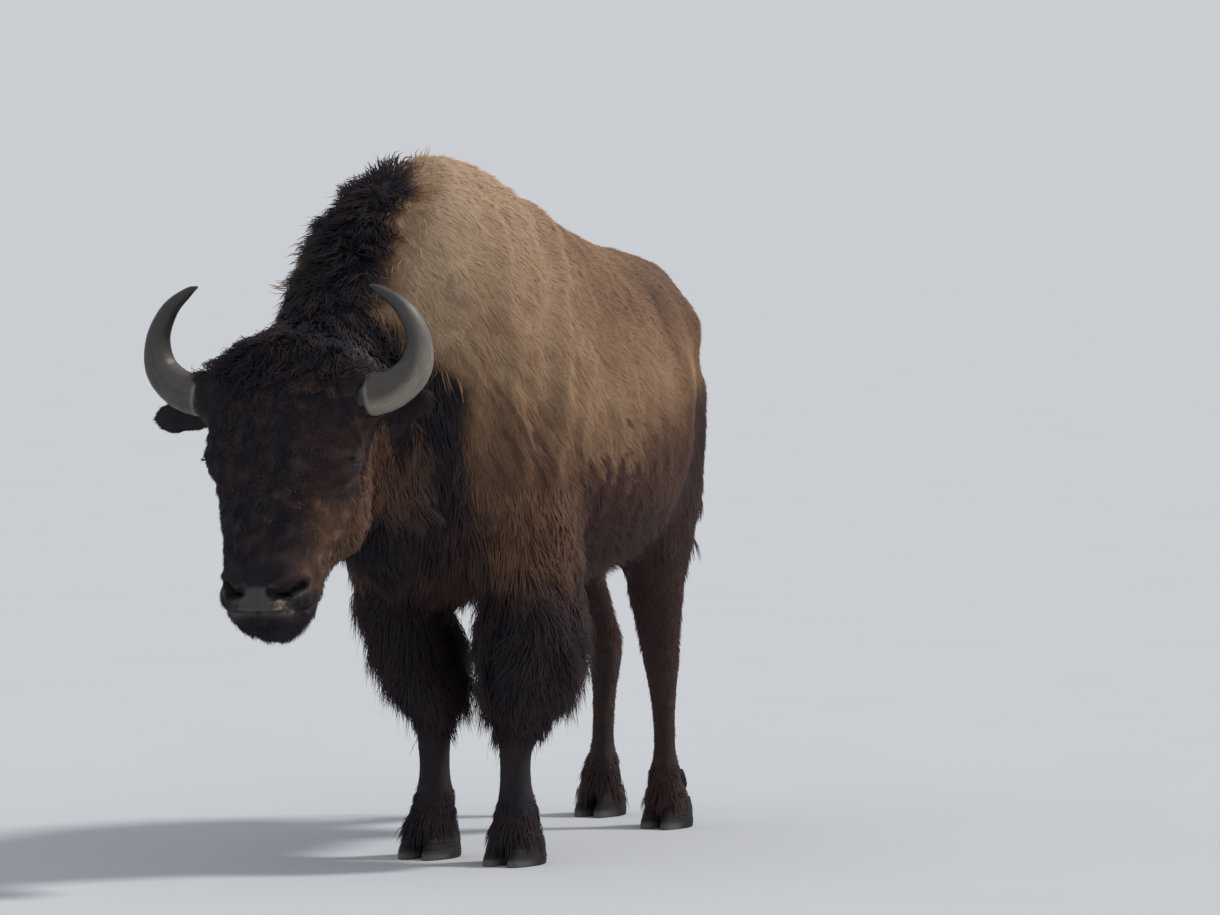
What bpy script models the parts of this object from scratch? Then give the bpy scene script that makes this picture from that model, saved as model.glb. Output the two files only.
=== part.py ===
"""American bison cow standing at rest with her head low, life size.

Metres, +Z up. She faces -Y and her left side is +X. The body is modelled whole
from overlapping masses, fused, thinned to a light mesh and parted into nodes
with thin cuts. Horns, ears, eyes, tail, claws and dewclaws are solids of their
own, the seated ones in sockets cut a hair wider than themselves.
"""

import math
from dataclasses import dataclass

import bmesh
import bpy
import numpy as np
from mathutils import Matrix, Vector

GAP = 0.0003            # clearance between neighbouring nodes
VOXEL = 0.011           # grain of the fused body
LIGHT_FACES = 3650      # faces of the body mesh that trunk and legs are cut from
FINE_FACES = 5700      # faces of the body mesh that the head is cut from
SIDES = {"left": 1.0, "right": -1.0}

# Trunk and neck: (y, x, top, bottom, half width, widest level, peak, keel)
TRUNK = (
    (-1.005, -0.160, 1.050, 0.860, 0.070, 0.96, 2.0, 2.0),
    (-0.945, -0.155, 1.150, 0.790, 0.125, 0.98, 2.0, 2.0),
    (-0.860, -0.130, 1.255, 0.705, 0.146, 1.00, 2.0, 1.6),
    (-0.770, -0.112, 1.380, 0.660, 0.182, 1.02, 2.0, 1.5),
    (-0.680, -0.100, 1.462, 0.610, 0.232, 1.02, 1.9, 1.55),
    (-0.580, -0.085, 1.500, 0.570, 0.265, 1.00, 1.75, 1.8),
    (-0.480, -0.070, 1.502, 0.560, 0.285, 0.97, 1.6, 1.9),
    (-0.360, -0.055, 1.485, 0.550, 0.290, 0.93, 1.55, 2.0),
    (-0.200, -0.045, 1.435, 0.550, 0.290, 0.90, 1.6, 2.1),
    (-0.050, -0.040, 1.375, 0.555, 0.290, 0.88, 1.7, 2.1),
    (0.100, -0.040, 1.328, 0.565, 0.280, 0.88, 1.8, 2.1),
    (0.250, -0.038, 1.300, 0.580, 0.256, 0.90, 1.9, 2.1),
    (0.400, -0.042, 1.284, 0.620, 0.213, 0.96, 2.0, 2.0),
    (0.520, -0.045, 1.264, 0.680, 0.168, 0.98, 2.1, 2.0),
    (0.620, -0.048, 1.212, 0.740, 0.122, 0.99, 2.1, 2.0),
    (0.690, -0.048, 1.135, 0.810, 0.080, 0.98, 2.0, 2.0),
    (0.735, -0.045, 1.040, 0.900, 0.040, 0.97, 2.0, 2.0),
)

# Head, down the face from the crown: (distance, half width, back, front)
HEAD = (
    (-0.010, 0.065, -0.120, -0.020),
    (0.040, 0.148, -0.200, 0.020),
    (0.125, 0.178, -0.240, 0.040),
    (0.205, 0.172, -0.250, 0.045),
    (0.290, 0.160, -0.260, 0.035),
    (0.370, 0.142, -0.245, 0.025),
    (0.450, 0.123, -0.210, 0.020),
    (0.535, 0.103, -0.175, 0.020),
    (0.590, 0.098, -0.155, 0.015),
    (0.625, 0.080, -0.140, -0.010),
    (0.652, 0.050, -0.120, -0.045),
)
CROWN = Vector((-0.161, -0.960, 1.155))     # where the face begins, at the crown
HEAD_YAW, HEAD_PITCH, HEAD_ROLL = 4.0, 72.0, 1.0

# Limbs from the body to the foot: (x, y, z, half width, half length)
FORELEG = {
    "left": ((0.120, -0.390, 0.800, 0.100, 0.170), (0.135, -0.405, 0.640, 0.095, 0.135),
             (0.140, -0.420, 0.520, 0.075, 0.100), (0.130, -0.435, 0.410, 0.060, 0.072),
             (0.118, -0.440, 0.330, 0.052, 0.058), (0.108, -0.440, 0.260, 0.044, 0.047),
             (0.108, -0.440, 0.190, 0.040, 0.043), (0.110, -0.440, 0.145, 0.044, 0.048),
             (0.112, -0.442, 0.112, 0.054, 0.056), (0.112, -0.450, 0.085, 0.053, 0.055),
             (0.112, -0.452, 0.050, 0.058, 0.063), (0.112, -0.452, 0.030, 0.052, 0.056)),
    "right": ((-0.195, -0.380, 0.800, 0.100, 0.170), (-0.185, -0.385, 0.640, 0.090, 0.135),
              (-0.160, -0.390, 0.520, 0.072, 0.100), (-0.125, -0.392, 0.410, 0.058, 0.072),
              (-0.110, -0.393, 0.330, 0.052, 0.058), (-0.105, -0.390, 0.260, 0.044, 0.047),
              (-0.105, -0.386, 0.190, 0.040, 0.043), (-0.105, -0.386, 0.145, 0.045, 0.048),
              (-0.106, -0.388, 0.112, 0.055, 0.056), (-0.110, -0.396, 0.085, 0.054, 0.055),
              (-0.112, -0.398, 0.050, 0.058, 0.063), (-0.112, -0.398, 0.030, 0.052, 0.056)),
}
CHAPS = {
    "left": ((0.125, -0.400, 0.700, 0.100, 0.150), (0.135, -0.410, 0.580, 0.115, 0.155),
             (0.136, -0.420, 0.460, 0.120, 0.150), (0.134, -0.425, 0.365, 0.110, 0.132),
             (0.125, -0.430, 0.300, 0.084, 0.100), (0.116, -0.435, 0.262, 0.052, 0.058)),
    "right": ((-0.190, -0.385, 0.700, 0.095, 0.150), (-0.182, -0.390, 0.580, 0.108, 0.150),
              (-0.148, -0.392, 0.460, 0.100, 0.140), (-0.122, -0.392, 0.370, 0.096, 0.120),
              (-0.110, -0.392, 0.310, 0.074, 0.092), (-0.106, -0.392, 0.275, 0.050, 0.056)),
}
HINDLEG = {
    "left": ((0.030, 0.470, 1.000, 0.100, 0.180), (0.048, 0.425, 0.840, 0.105, 0.188),
             (0.070, 0.370, 0.700, 0.095, 0.158), (0.086, 0.345, 0.580, 0.074, 0.106),
             (0.088, 0.352, 0.480, 0.054, 0.076), (0.085, 0.374, 0.400, 0.046, 0.064),
             (0.085, 0.384, 0.350, 0.043, 0.056), (0.086, 0.392, 0.270, 0.035, 0.039),
             (0.088, 0.392, 0.180, 0.033, 0.036), (0.090, 0.392, 0.140, 0.038, 0.042),
             (0.091, 0.390, 0.110, 0.045, 0.047), (0.093, 0.389, 0.085, 0.046, 0.049),
             (0.095, 0.388, 0.050, 0.050, 0.057), (0.095, 0.388, 0.030, 0.046, 0.051)),
    "right": ((-0.120, 0.480, 1.000, 0.100, 0.180), (-0.135, 0.450, 0.840, 0.105, 0.188),
              (-0.148, 0.415, 0.700, 0.092, 0.145), (-0.152, 0.440, 0.580, 0.070, 0.098),
              (-0.152, 0.525, 0.480, 0.052, 0.070), (-0.149, 0.594, 0.400, 0.045, 0.060),
              (-0.149, 0.602, 0.350, 0.043, 0.052), (-0.149, 0.595, 0.270, 0.035, 0.039),
              (-0.149, 0.588, 0.180, 0.033, 0.036), (-0.149, 0.586, 0.140, 0.038, 0.042),
              (-0.149, 0.582, 0.110, 0.048, 0.051), (-0.149, 0.576, 0.085, 0.047, 0.051),
              (-0.149, 0.573, 0.050, 0.050, 0.057), (-0.149, 0.573, 0.030, 0.046, 0.051)),
}
TAIL = ((-0.044, 0.655, 1.160, 0.034), (-0.042, 0.712, 1.145, 0.031), (-0.034, 0.750, 1.070, 0.025),
        (-0.022, 0.762, 0.960, 0.021), (-0.012, 0.760, 0.860, 0.028), (-0.006, 0.754, 0.760, 0.037),
        (-0.004, 0.750, 0.670, 0.027), (-0.004, 0.748, 0.610, 0.009))

# Masses laid on the lofts: (x, y, z) and the three half sizes
MASSES = (
    ((0.090, -0.430, 0.880), (0.130, 0.190, 0.300)),      # shoulders
    ((-0.190, -0.420, 0.880), (0.120, 0.190, 0.300)),
    ((0.085, 0.400, 1.090), (0.080, 0.130, 0.110)),       # points of the hips
    ((-0.165, 0.400, 1.090), (0.080, 0.130, 0.110)),
)

HORN_ROOT = 0.155                 # down the face from the crown
HORN = ((0.125, -0.004, 0.000, 0.043), (0.185, 0.002, 0.000, 0.044), (0.238, 0.016, -0.004, 0.040),
        (0.281, 0.058, -0.008, 0.034), (0.287, 0.120, -0.006, 0.025), (0.258, 0.178, 0.002, 0.018),
        (0.213, 0.214, 0.012, 0.010), (0.190, 0.225, 0.016, 0.003))
EYE = (0.142, 0.288, -0.043)      # across, down the face, out of it
EYE_RADIUS = 0.022
EAR = (0.150, 0.165, -0.110)
EAR_LENGTH = {"left": 0.132, "right": 0.190}   # the left ear is laid back behind its horn
EAR_DROOP = {"left": -0.030, "right": 0.004}
EAR_WIDTH, EAR_DEPTH = 0.088, 0.034

HOOF_TOP = 0.060
HOOF_FORE = (0.122, 0.140)        # width and length of a fore hoof
HOOF_HIND = (0.106, 0.126)
CLEFT = 0.005


@dataclass(frozen=True)
class Finish:
    """Surface of one kind of node."""

    name: str
    colour: tuple
    roughness: float


COAT = Finish("coat", (0.105, 0.075, 0.055), 0.90)
DARK_COAT = Finish("dark coat", (0.022, 0.017, 0.016), 0.90)
LEG_COAT = Finish("leg coat", (0.030, 0.022, 0.020), 0.90)
HORN_SKIN = Finish("horn", (0.070, 0.062, 0.052), 0.40)
HOOF_SKIN = Finish("hoof", (0.045, 0.040, 0.036), 0.60)
EYE_SKIN = Finish("eye", (0.010, 0.007, 0.006), 0.08)


def collection(name, cutters=False):
    """A new collection in the scene, hidden from rendering when it holds cutters."""
    group = bpy.data.collections.new(name)
    bpy.context.scene.collection.children.link(group)
    group.hide_render = cutters
    return group


def material(finish):
    """The Principled material of a finish, made once."""
    found = bpy.data.materials.get(finish.name)
    if found:
        return found
    made = bpy.data.materials.new(finish.name)
    made.use_nodes = True
    shader = made.node_tree.nodes["Principled BSDF"]
    shader.inputs["Base Color"].default_value = (*finish.colour, 1.0)
    shader.inputs["Roughness"].default_value = finish.roughness
    made.diffuse_color = (*finish.colour, 1.0)
    return made


def blend(stations, count):
    """Run a smooth curve through rows of numbers and read it at equal steps."""
    rows = np.array(stations, dtype=float)
    reach = np.linspace(0.0, len(rows) - 1.0, count)
    first = np.minimum(reach.astype(int), len(rows) - 2)
    part = (reach - first)[:, None]
    before, last = np.maximum(first - 1, 0), len(rows) - 1
    a, b, c, d = rows[before], rows[first], rows[first + 1], rows[np.minimum(first + 2, last)]
    bend = (2 * a - 5 * b + 4 * c - d) * part + (3 * (b - c) + d - a) * part * part
    return b + 0.5 * part * ((c - a) + bend)


def oval(width, rise, drop, peak, keel, sides):
    """Outline whose upper and lower halves have a height and squareness each."""
    turn = np.linspace(0.0, 2.0 * math.pi, sides, endpoint=False)
    across, along = np.cos(turn), np.sin(turn)
    power = np.where(along >= 0.0, 2.0 / peak, 2.0 / keel)
    tall = np.where(along >= 0.0, rise, drop)
    return np.stack((width * np.sign(across) * np.abs(across) ** power,
                     tall * np.sign(along) * np.abs(along) ** power), axis=1)


def skin_over(name, rings, group, turn=None):
    """Close a row of equal rings of points into one solid."""
    mesh = bpy.data.meshes.new(name)
    shape = bmesh.new()
    loops = [[shape.verts.new(point) for point in ring] for ring in rings]
    sides = len(loops[0])
    for lower, upper in zip(loops, loops[1:]):
        for k in range(sides):
            shape.faces.new((lower[k], lower[(k + 1) % sides], upper[(k + 1) % sides], upper[k]))
    for ring in (loops[0], loops[-1]):
        bmesh.ops.contextual_create(shape, geom=ring)
    caps = [face for face in shape.faces if len(face.verts) > 4]
    bmesh.ops.poke(shape, faces=caps)
    if turn is not None:
        bmesh.ops.transform(shape, matrix=turn, verts=shape.verts[:])
    bmesh.ops.recalc_face_normals(shape, faces=shape.faces[:])
    bmesh.ops.triangulate(shape, faces=[face for face in shape.faces if len(face.verts) > 3])
    shape.to_mesh(mesh)
    shape.free()
    made = bpy.data.objects.new(name, mesh)
    group.objects.link(made)
    return made


def barrel(name, stations, group, count=56, sides=36):
    """The trunk: upright sections one behind the other."""
    rings = []
    for y, x, top, bottom, half, widest, peak, keel in blend(stations, count):
        flat = oval(half, top - widest, widest - bottom, peak, keel, sides)
        rings.append([(x + u, y, widest + v) for u, v in flat])
    return skin_over(name, rings, group)


def mask(name, stations, frame, group, count=40, sides=32):
    """The head: sections square to the face, in the head's own frame."""
    rings = []
    for down, half, back, front in blend(stations, count):
        middle = front - 0.40 * (front - back)
        flat = oval(half, front - middle, middle - back, 2.3, 2.0, sides)
        rings.append([(u, down, middle + v) for u, v in flat])
    return skin_over(name, rings, group, frame)


def pillar(name, stations, group, count=48, sides=24, power=2.1):
    """A limb: level sections one under the other."""
    rings = []
    for x, y, z, half_x, half_y in blend(stations, count):
        flat = oval(half_x, half_y, half_y, power, power, sides)
        rings.append([(x + u, y + v, z) for u, v in flat])
    return skin_over(name, rings, group)


def hose(name, points, group, frame=None, count=18, sides=14, swell=0.0):
    """A round bar along a curve, its thickness given at each point of the curve."""
    rows = blend(points, count)
    path = [Vector(row[:3]) for row in rows]
    side, rings = None, []
    for k, centre in enumerate(path):
        ahead = (path[min(k + 1, count - 1)] - path[max(k - 1, 0)]).normalized()
        side = (ahead.orthogonal() if side is None else side - ahead * side.dot(ahead)).normalized()
        lift = ahead.cross(side)
        radius = max(float(rows[k][3]), 0.001) + swell
        nudge = ahead * (swell * ((k == count - 1) - (k == 0)))
        around = [2.0 * math.pi * j / sides for j in range(sides)]
        rings.append([centre + nudge + side * (radius * math.cos(t)) + lift * (radius * math.sin(t))
                      for t in around])
    return skin_over(name, rings, group, frame)


def ball(name, centre, radii, group, frame=None, cells=(20, 14)):
    """An ellipsoid."""
    mesh = bpy.data.meshes.new(name)
    shape = bmesh.new()
    place = Matrix.Translation(centre) @ Matrix.Diagonal((*radii, 1.0))
    bmesh.ops.create_uvsphere(shape, u_segments=cells[0], v_segments=cells[1], radius=1.0,
                              matrix=(frame or Matrix()) @ place)
    bmesh.ops.recalc_face_normals(shape, faces=shape.faces[:])
    bmesh.ops.triangulate(shape, faces=shape.faces[:])
    shape.to_mesh(mesh)
    shape.free()
    made = bpy.data.objects.new(name, mesh)
    group.objects.link(made)
    return made


def block(name, low, high, group, tilt=0.0):
    """A box between two corners, its top and bottom sloped along Y by a tilt."""
    mesh = bpy.data.meshes.new(name)
    shape = bmesh.new()
    low, high = Vector(low), Vector(high)
    bmesh.ops.create_cube(shape, size=1.0, matrix=Matrix.Translation((low + high) / 2)
                          @ Matrix.Diagonal((*(high - low), 1.0)))
    for vert in shape.verts:
        if vert.co.z > (low.z + high.z) / 2:
            vert.co.z += tilt * (vert.co.y - low.y)
    shape.to_mesh(mesh)
    shape.free()
    made = bpy.data.objects.new(name, mesh)
    group.objects.link(made)
    made.display_type = "WIRE"
    return made


def settle(made):
    """Replace an object's mesh by what its modifiers make of it."""
    shaped = made.evaluated_get(bpy.context.evaluated_depsgraph_get())
    mesh = bpy.data.meshes.new_from_object(shaped)
    made.modifiers.clear()
    made.data = mesh
    return made


def combine(made, other, operation):
    """Join, cut or keep the common part of two solids."""
    step = made.modifiers.new("step", "BOOLEAN")
    step.operation = operation
    step.solver = "EXACT"
    step.object = other
    return settle(made)


def copy_of(made, name, group):
    """A copy with a mesh of its own."""
    twin = bpy.data.objects.new(name, made.data.copy())
    group.objects.link(twin)
    return twin


def fused(name, pieces, group):
    """Melt overlapping pieces into one smooth closed skin."""
    shape = bmesh.new()
    for piece in pieces:
        shape.from_mesh(piece.data)
    mesh = bpy.data.meshes.new(name)
    shape.to_mesh(mesh)
    shape.free()
    made = bpy.data.objects.new(name, mesh)
    group.objects.link(made)
    melt = made.modifiers.new("melt", "REMESH")
    melt.mode = "VOXEL"
    melt.voxel_size = VOXEL
    ease = made.modifiers.new("ease", "SMOOTH")
    ease.factor = 0.5
    ease.iterations = 12
    return settle(made)


def thinned(source, name, faces, group):
    """A lighter copy of a closed mesh."""
    made = copy_of(source, name, group)
    total = sum(len(face.vertices) - 2 for face in made.data.polygons)
    thin = made.modifiers.new("thin", "DECIMATE")
    thin.ratio = min(1.0, faces / total)
    thin.use_collapse_triangulate = True
    return settle(made)


def head_frame():
    """Frame of the head: across to her left, down the face, out of the face."""
    yaw, pitch = math.radians(HEAD_YAW), math.radians(HEAD_PITCH)
    ahead = Vector((math.sin(yaw), -math.cos(yaw), 0.0))
    across = Vector((math.cos(yaw), math.sin(yaw), 0.0))
    down = ahead * math.cos(pitch) - Vector((0, 0, 1)) * math.sin(pitch)
    out = ahead * math.sin(pitch) + Vector((0, 0, 1)) * math.cos(pitch)
    frame = Matrix((across, down, out)).transposed().to_4x4()
    roll = Matrix.Rotation(math.radians(HEAD_ROLL), 4, ahead)
    return Matrix.Translation(CROWN) @ roll @ frame


def horn_frame(side):
    """Frame of a horn: outward across the head, up, forward."""
    yaw = math.radians(HEAD_YAW)
    across = Vector((math.cos(yaw), math.sin(yaw), 0.0))
    ahead = Vector((math.sin(yaw), -math.cos(yaw), 0.0))
    frame = Matrix((across * side, Vector((0, 0, 1)), ahead)).transposed().to_4x4()
    root = head_frame() @ Vector((0.0, HORN_ROOT, -0.030))
    roll = Matrix.Rotation(math.radians(HEAD_ROLL), 4, ahead)
    return Matrix.Translation(root) @ roll @ frame


def head_masses(frame, group):
    """Lumps of the head laid on its loft, in the head's frame."""
    lumps = [ball("mop", (0.0, 0.082, -0.035), (0.172, 0.088, 0.095), group, frame),
             ball("forehead", (0.0, 0.190, -0.035), (0.115, 0.130, 0.095), group, frame),
             ball("bridge", (0.0, 0.400, -0.040), (0.060, 0.150, 0.062), group, frame),
             ball("muzzle", (0.0, 0.580, -0.045), (0.088, 0.058, 0.070), group, frame),
             ball("chin", (0.0, 0.615, -0.105), (0.056, 0.042, 0.050), group, frame)]
    for side in SIDES.values():
        lumps += [
            ball("brow", (side * 0.128, 0.275, -0.035), (0.036, 0.042, 0.045), group, frame),
            ball("cheek", (side * 0.095, 0.350, -0.140), (0.062, 0.125, 0.110), group, frame),
            ball("horn bed", (side * 0.138, 0.150, -0.036), (0.100, 0.064, 0.070), group, frame),
            ball("nostril wing", (side * 0.062, 0.578, -0.022), (0.032, 0.036, 0.036), group, frame)]
    return lumps


def ear_solid(word, frame, group, swell=0.0):
    """An ear: a thick rounded leaf pushed out of the side of the head."""
    side = SIDES[word]
    across, down, out = EAR
    rows = ((0.00, 0.44, 0.9), (0.18, 0.66, 1.0), (0.40, 0.92, 0.95), (0.62, 1.00, 0.88),
            (0.82, 0.90, 0.78), (0.94, 0.62, 0.62), (1.0, 0.26, 0.40))
    rings = []
    for reach, wide, deep in blend(rows, 9):
        flat = oval(wide * EAR_WIDTH / 2 + swell, deep * EAR_DEPTH / 2 + swell,
                    deep * EAR_DEPTH / 2 + swell, 2.0, 2.0, 10)
        droop = EAR_DROOP[word] * reach
        spread = across - swell + reach * (EAR_LENGTH[word] + 2.0 * swell)
        rings.append([(side * spread, down + droop + u,
                       out - 0.03 * reach + v) for u, v in flat])
    return skin_over("ear", rings, group, frame)


def claw_solid(name, foot, size, side, group):
    """One claw of a cloven hoof: flat sole, sloped wall, open cleft beside it."""
    width, length = size
    half = (width - CLEFT) / 4
    middle = foot.x + side * (CLEFT / 2 + half)
    rows = ((0.0, 1.00, 1.00, 0.000), (0.006, 1.04, 1.03, 0.000), (0.024, 0.99, 0.95, 0.006),
            (0.044, 0.94, 0.86, 0.014), (HOOF_TOP, 0.90, 0.78, 0.020))
    rings = []
    for z, wide, long, back in rows:
        flat = oval(half * wide, length / 2 * long, length / 2 * long, 2.2, 2.2, 12)
        toe = np.clip(-flat[:, 1] / (length / 2), 0.0, 1.0)
        rings.append([(middle + u * (1 - 0.28 * t) - side * 0.006 * t, foot.y + back + v, z)
                      for (u, v), t in zip(flat, toe)])
    return skin_over(name, rings, group)


def dewclaw_solid(name, foot, side, group, swell=0.0):
    """One of the two small claws behind the fetlock."""
    x, y = foot.x + side * 0.022, foot.y + 0.034
    rows = ((x, y, 0.122, 0.009), (x, y + 0.013, 0.110, 0.012), (x + side * 0.001, y + 0.025, 0.095, 0.011),
            (x + side * 0.002, y + 0.032, 0.082, 0.006))
    return hose(name, rows, group, count=4, sides=6, swell=swell)


def feet():
    """Where each foot stands, and its hoof size."""
    for limbs, size, word in ((FORELEG, HOOF_FORE, "fore"), (HINDLEG, HOOF_HIND, "hind")):
        for side, rows in limbs.items():
            x, y = rows[-1][:2]
            yield f"{word}_{side}", Vector((x, y - 0.012, 0.0)), size


def body_skin(group):
    """Every mass of flesh and hanging hair fused into one closed skin."""
    frame = head_frame()
    pieces = [barrel("barrel", TRUNK, group), mask("mask", HEAD, frame, group)]
    for limbs in (FORELEG, CHAPS, HINDLEG):
        pieces += [pillar("limb", rows, group) for rows in limbs.values()]
    pieces += [ball("mass", centre, radii, group) for centre, radii in MASSES]
    pieces += head_masses(frame, group)
    return fused("body", pieces, group)


def finish_node(made, name, finish, group, nodes):
    """Name a node, give it its material and move it among the finished ones."""
    made.name = name
    made.data.name = name
    made.data.materials.clear()
    made.data.materials.append(material(finish))
    for owner in list(made.users_collection):
        owner.objects.unlink(made)
    group.objects.link(made)
    nodes[name] = made


def parted(body, fine, cutters, group, nodes):
    """Cut the body skin into head, neck, trunk and legs."""
    neck_front, neck_back, mid = -0.800, -0.620, -0.022
    far = 2.5
    regions = {
        "head": (fine, block("head_cut", (-far, -far, -far), (far, neck_front - GAP / 2, far), cutters)),
        "neck": (body, block("neck_cut", (-far, neck_front + GAP / 2, -far),
                             (far, neck_back - GAP / 2, far), cutters)),
    }
    for side, sign in SIDES.items():
        inner, outer = mid + sign * GAP / 2, sign * far
        low_x, high_x = min(inner, outer), max(inner, outer)
        regions[f"foreleg_{side}"] = (body, block(
            f"foreleg_{side}_cut", (low_x, neck_back + GAP, HOOF_TOP + GAP), (high_x, 0.10, 0.530), cutters))
        regions[f"hindleg_{side}"] = (body, block(
            f"hindleg_{side}_cut", (low_x, 0.150, HOOF_TOP + GAP), (high_x, 1.20, 0.545), cutters, 0.72))
    for name, (source, cutter) in regions.items():
        finish_node(combine(copy_of(source, name, cutters), cutter, "INTERSECT"), name,
                    DARK_COAT if name in ("head", "neck") else LEG_COAT, group, nodes)
    trunk = copy_of(body, "trunk", cutters)
    front = block("trunk_front_cut", (-far, -far, -far), (far, neck_back + GAP / 2, far), cutters)
    fore = block("trunk_fore_cut", (-far, -far, -far), (far, 0.10 + GAP, 0.530 + GAP), cutters)
    hind = block("trunk_hind_cut", (-far, 0.150 - GAP, -far), (far, 1.20, 0.545 + 1.5 * GAP), cutters, 0.72)
    for cutter in (front, fore, hind):
        combine(trunk, cutter, "DIFFERENCE")
    finish_node(trunk, "trunk", COAT, group, nodes)


def seated(group, cutters, nodes):
    """Horns, ears, eyes, tail, claws and dewclaws, each with its socket."""
    frame = head_frame()
    for side, sign in SIDES.items():
        place = horn_frame(sign)
        finish_node(hose("horn", HORN, group, place, 14, 12), f"horn_{side}", HORN_SKIN, group, nodes)
        combine(nodes["head"], hose("socket", HORN, cutters, place, 14, 12, GAP), "DIFFERENCE")
        across, down, out = EYE
        spot = (sign * across, down, out)
        finish_node(ball("eye", spot, (EYE_RADIUS,) * 3, group, frame, (12, 8)), f"eye_{side}",
                    EYE_SKIN, group, nodes)
        combine(nodes["head"], ball("socket", spot, (EYE_RADIUS + GAP,) * 3, cutters, frame, (12, 8)),
                "DIFFERENCE")
        finish_node(ear_solid(side, frame, group), f"ear_{side}", DARK_COAT, group, nodes)
        combine(nodes["head"], ear_solid(side, frame, cutters, GAP), "DIFFERENCE")
    finish_node(hose("tail", TAIL, group, None, 14, 8), "tail", LEG_COAT, group, nodes)
    combine(nodes["trunk"], hose("socket", TAIL, cutters, None, 14, 8, GAP), "DIFFERENCE")
    for foot, place, size in feet():
        leg = nodes[foot.replace("fore_", "foreleg_").replace("hind_", "hindleg_")]
        for word, sign in (("inner", -1.0), ("outer", 1.0)):
            turn = sign if foot.endswith("left") else -sign
            finish_node(claw_solid("claw", place, size, turn, group), f"claw_{foot}_{word}",
                        HOOF_SKIN, group, nodes)
            finish_node(dewclaw_solid("dewclaw", place, turn, group), f"dewclaw_{foot}_{word}",
                        HOOF_SKIN, group, nodes)
            combine(leg, dewclaw_solid("socket", place, turn, cutters, GAP), "DIFFERENCE")


def centred(nodes):
    """Move everything so the origin lies on the ground under the middle of the bounds."""
    spots = np.array([vert.co for made in nodes.values() for vert in made.data.vertices])
    low, high = spots.min(axis=0), spots.max(axis=0)
    shift = Matrix.Translation((-(low[0] + high[0]) / 2, -(low[1] + high[1]) / 2, -low[2]))
    for made in nodes.values():
        made.data.transform(shift)
        made.data.update()
    return shift


def build():
    """Make the whole animal."""
    for made in list(bpy.data.objects):
        bpy.data.objects.remove(made, do_unlink=True)
    group, cutters = collection("American bison"), collection("Cutters", True)
    nodes = {}
    skin = body_skin(cutters)
    body = thinned(skin, "light body", LIGHT_FACES, cutters)
    fine = thinned(skin, "fine body", FINE_FACES, cutters)
    parted(body, fine, cutters, group, nodes)
    seated(group, cutters, nodes)
    centred(nodes)
    for made in list(cutters.objects):
        made.hide_render = True
        made.display_type = "WIRE"


build()
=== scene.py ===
"""A standing bison: skin, coat, horns, hooves and eyes laid over its solid frame."""

import logging
import math
from dataclasses import dataclass, field
from enum import Enum
from functools import partial
from itertools import product

import bmesh
import bpy
import numpy as np
from mathutils import Matrix, Vector
from mathutils.kdtree import KDTree


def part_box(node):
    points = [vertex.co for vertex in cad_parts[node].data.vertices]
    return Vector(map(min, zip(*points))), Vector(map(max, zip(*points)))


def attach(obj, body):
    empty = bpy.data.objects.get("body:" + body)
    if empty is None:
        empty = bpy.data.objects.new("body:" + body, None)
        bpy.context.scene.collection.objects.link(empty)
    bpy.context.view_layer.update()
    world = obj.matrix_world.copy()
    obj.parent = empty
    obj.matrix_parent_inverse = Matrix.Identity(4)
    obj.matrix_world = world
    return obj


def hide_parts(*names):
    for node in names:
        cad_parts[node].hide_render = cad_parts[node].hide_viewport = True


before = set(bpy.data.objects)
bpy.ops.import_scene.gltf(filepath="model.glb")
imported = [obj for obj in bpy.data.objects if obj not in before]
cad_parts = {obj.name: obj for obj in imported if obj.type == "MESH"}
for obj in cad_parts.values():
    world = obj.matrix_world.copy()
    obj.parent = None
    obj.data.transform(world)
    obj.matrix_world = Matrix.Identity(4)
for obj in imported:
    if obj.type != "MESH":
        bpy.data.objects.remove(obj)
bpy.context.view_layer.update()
LOG = logging.getLogger("bison")
SEED = 11
TURN = 2.0 * math.pi
SIDES = {"left": 1.0, "right": -1.0}
LEGS = ("fore", "hind")
CLAWS = ("inner", "outer")
BAKE_MAP = "OFBake"


def ramp(value: np.ndarray, low: float, high: float) -> np.ndarray:
    """Eases from 0 at low to 1 at high."""
    t = np.clip((value - low) / (high - low), 0.0, 1.0)
    return t * t * (3.0 - 2.0 * t)


def between(value: np.ndarray, low: float, high: float, soft: float) -> np.ndarray:
    """1 between low and high, easing to 0 over soft on either side."""
    return ramp(value, low - soft, low + soft) * (1.0 - ramp(value, high - soft, high + soft))


def unit(vectors: np.ndarray) -> np.ndarray:
    """Rows scaled to length one."""
    return vectors / np.maximum(np.linalg.norm(vectors, axis=-1, keepdims=True), 1e-9)


def ripple(points: np.ndarray, size: float, seed: int, waves: int = 9) -> np.ndarray:
    """A smooth random swell over space, of about -1 to 1.

    Args:
        points: Places, one row each.
        size: Distance from one swell to the next.
        seed: Picks the pattern.
        waves: How many waves are summed.

    Returns:
        One value for each place.
    """
    rng = np.random.default_rng(seed)
    ways = unit(rng.normal(size=(waves, 3))) * rng.uniform(0.6, 1.6, (waves, 1))
    phase = rng.uniform(0.0, TURN, waves)
    return np.sin(points @ ways.T * (TURN / size) + phase).sum(axis=1) / math.sqrt(waves)


def bell(value: np.ndarray, middle: float, width: float) -> np.ndarray:
    """1 at the middle, easing to 0 a few widths away."""
    return np.exp(-(((value - middle) / width) ** 2))


def away_from(points: np.ndarray, spot: Vector) -> np.ndarray:
    """Distance of each point from a spot."""
    return np.linalg.norm(points - np.array(spot), axis=1)


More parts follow.
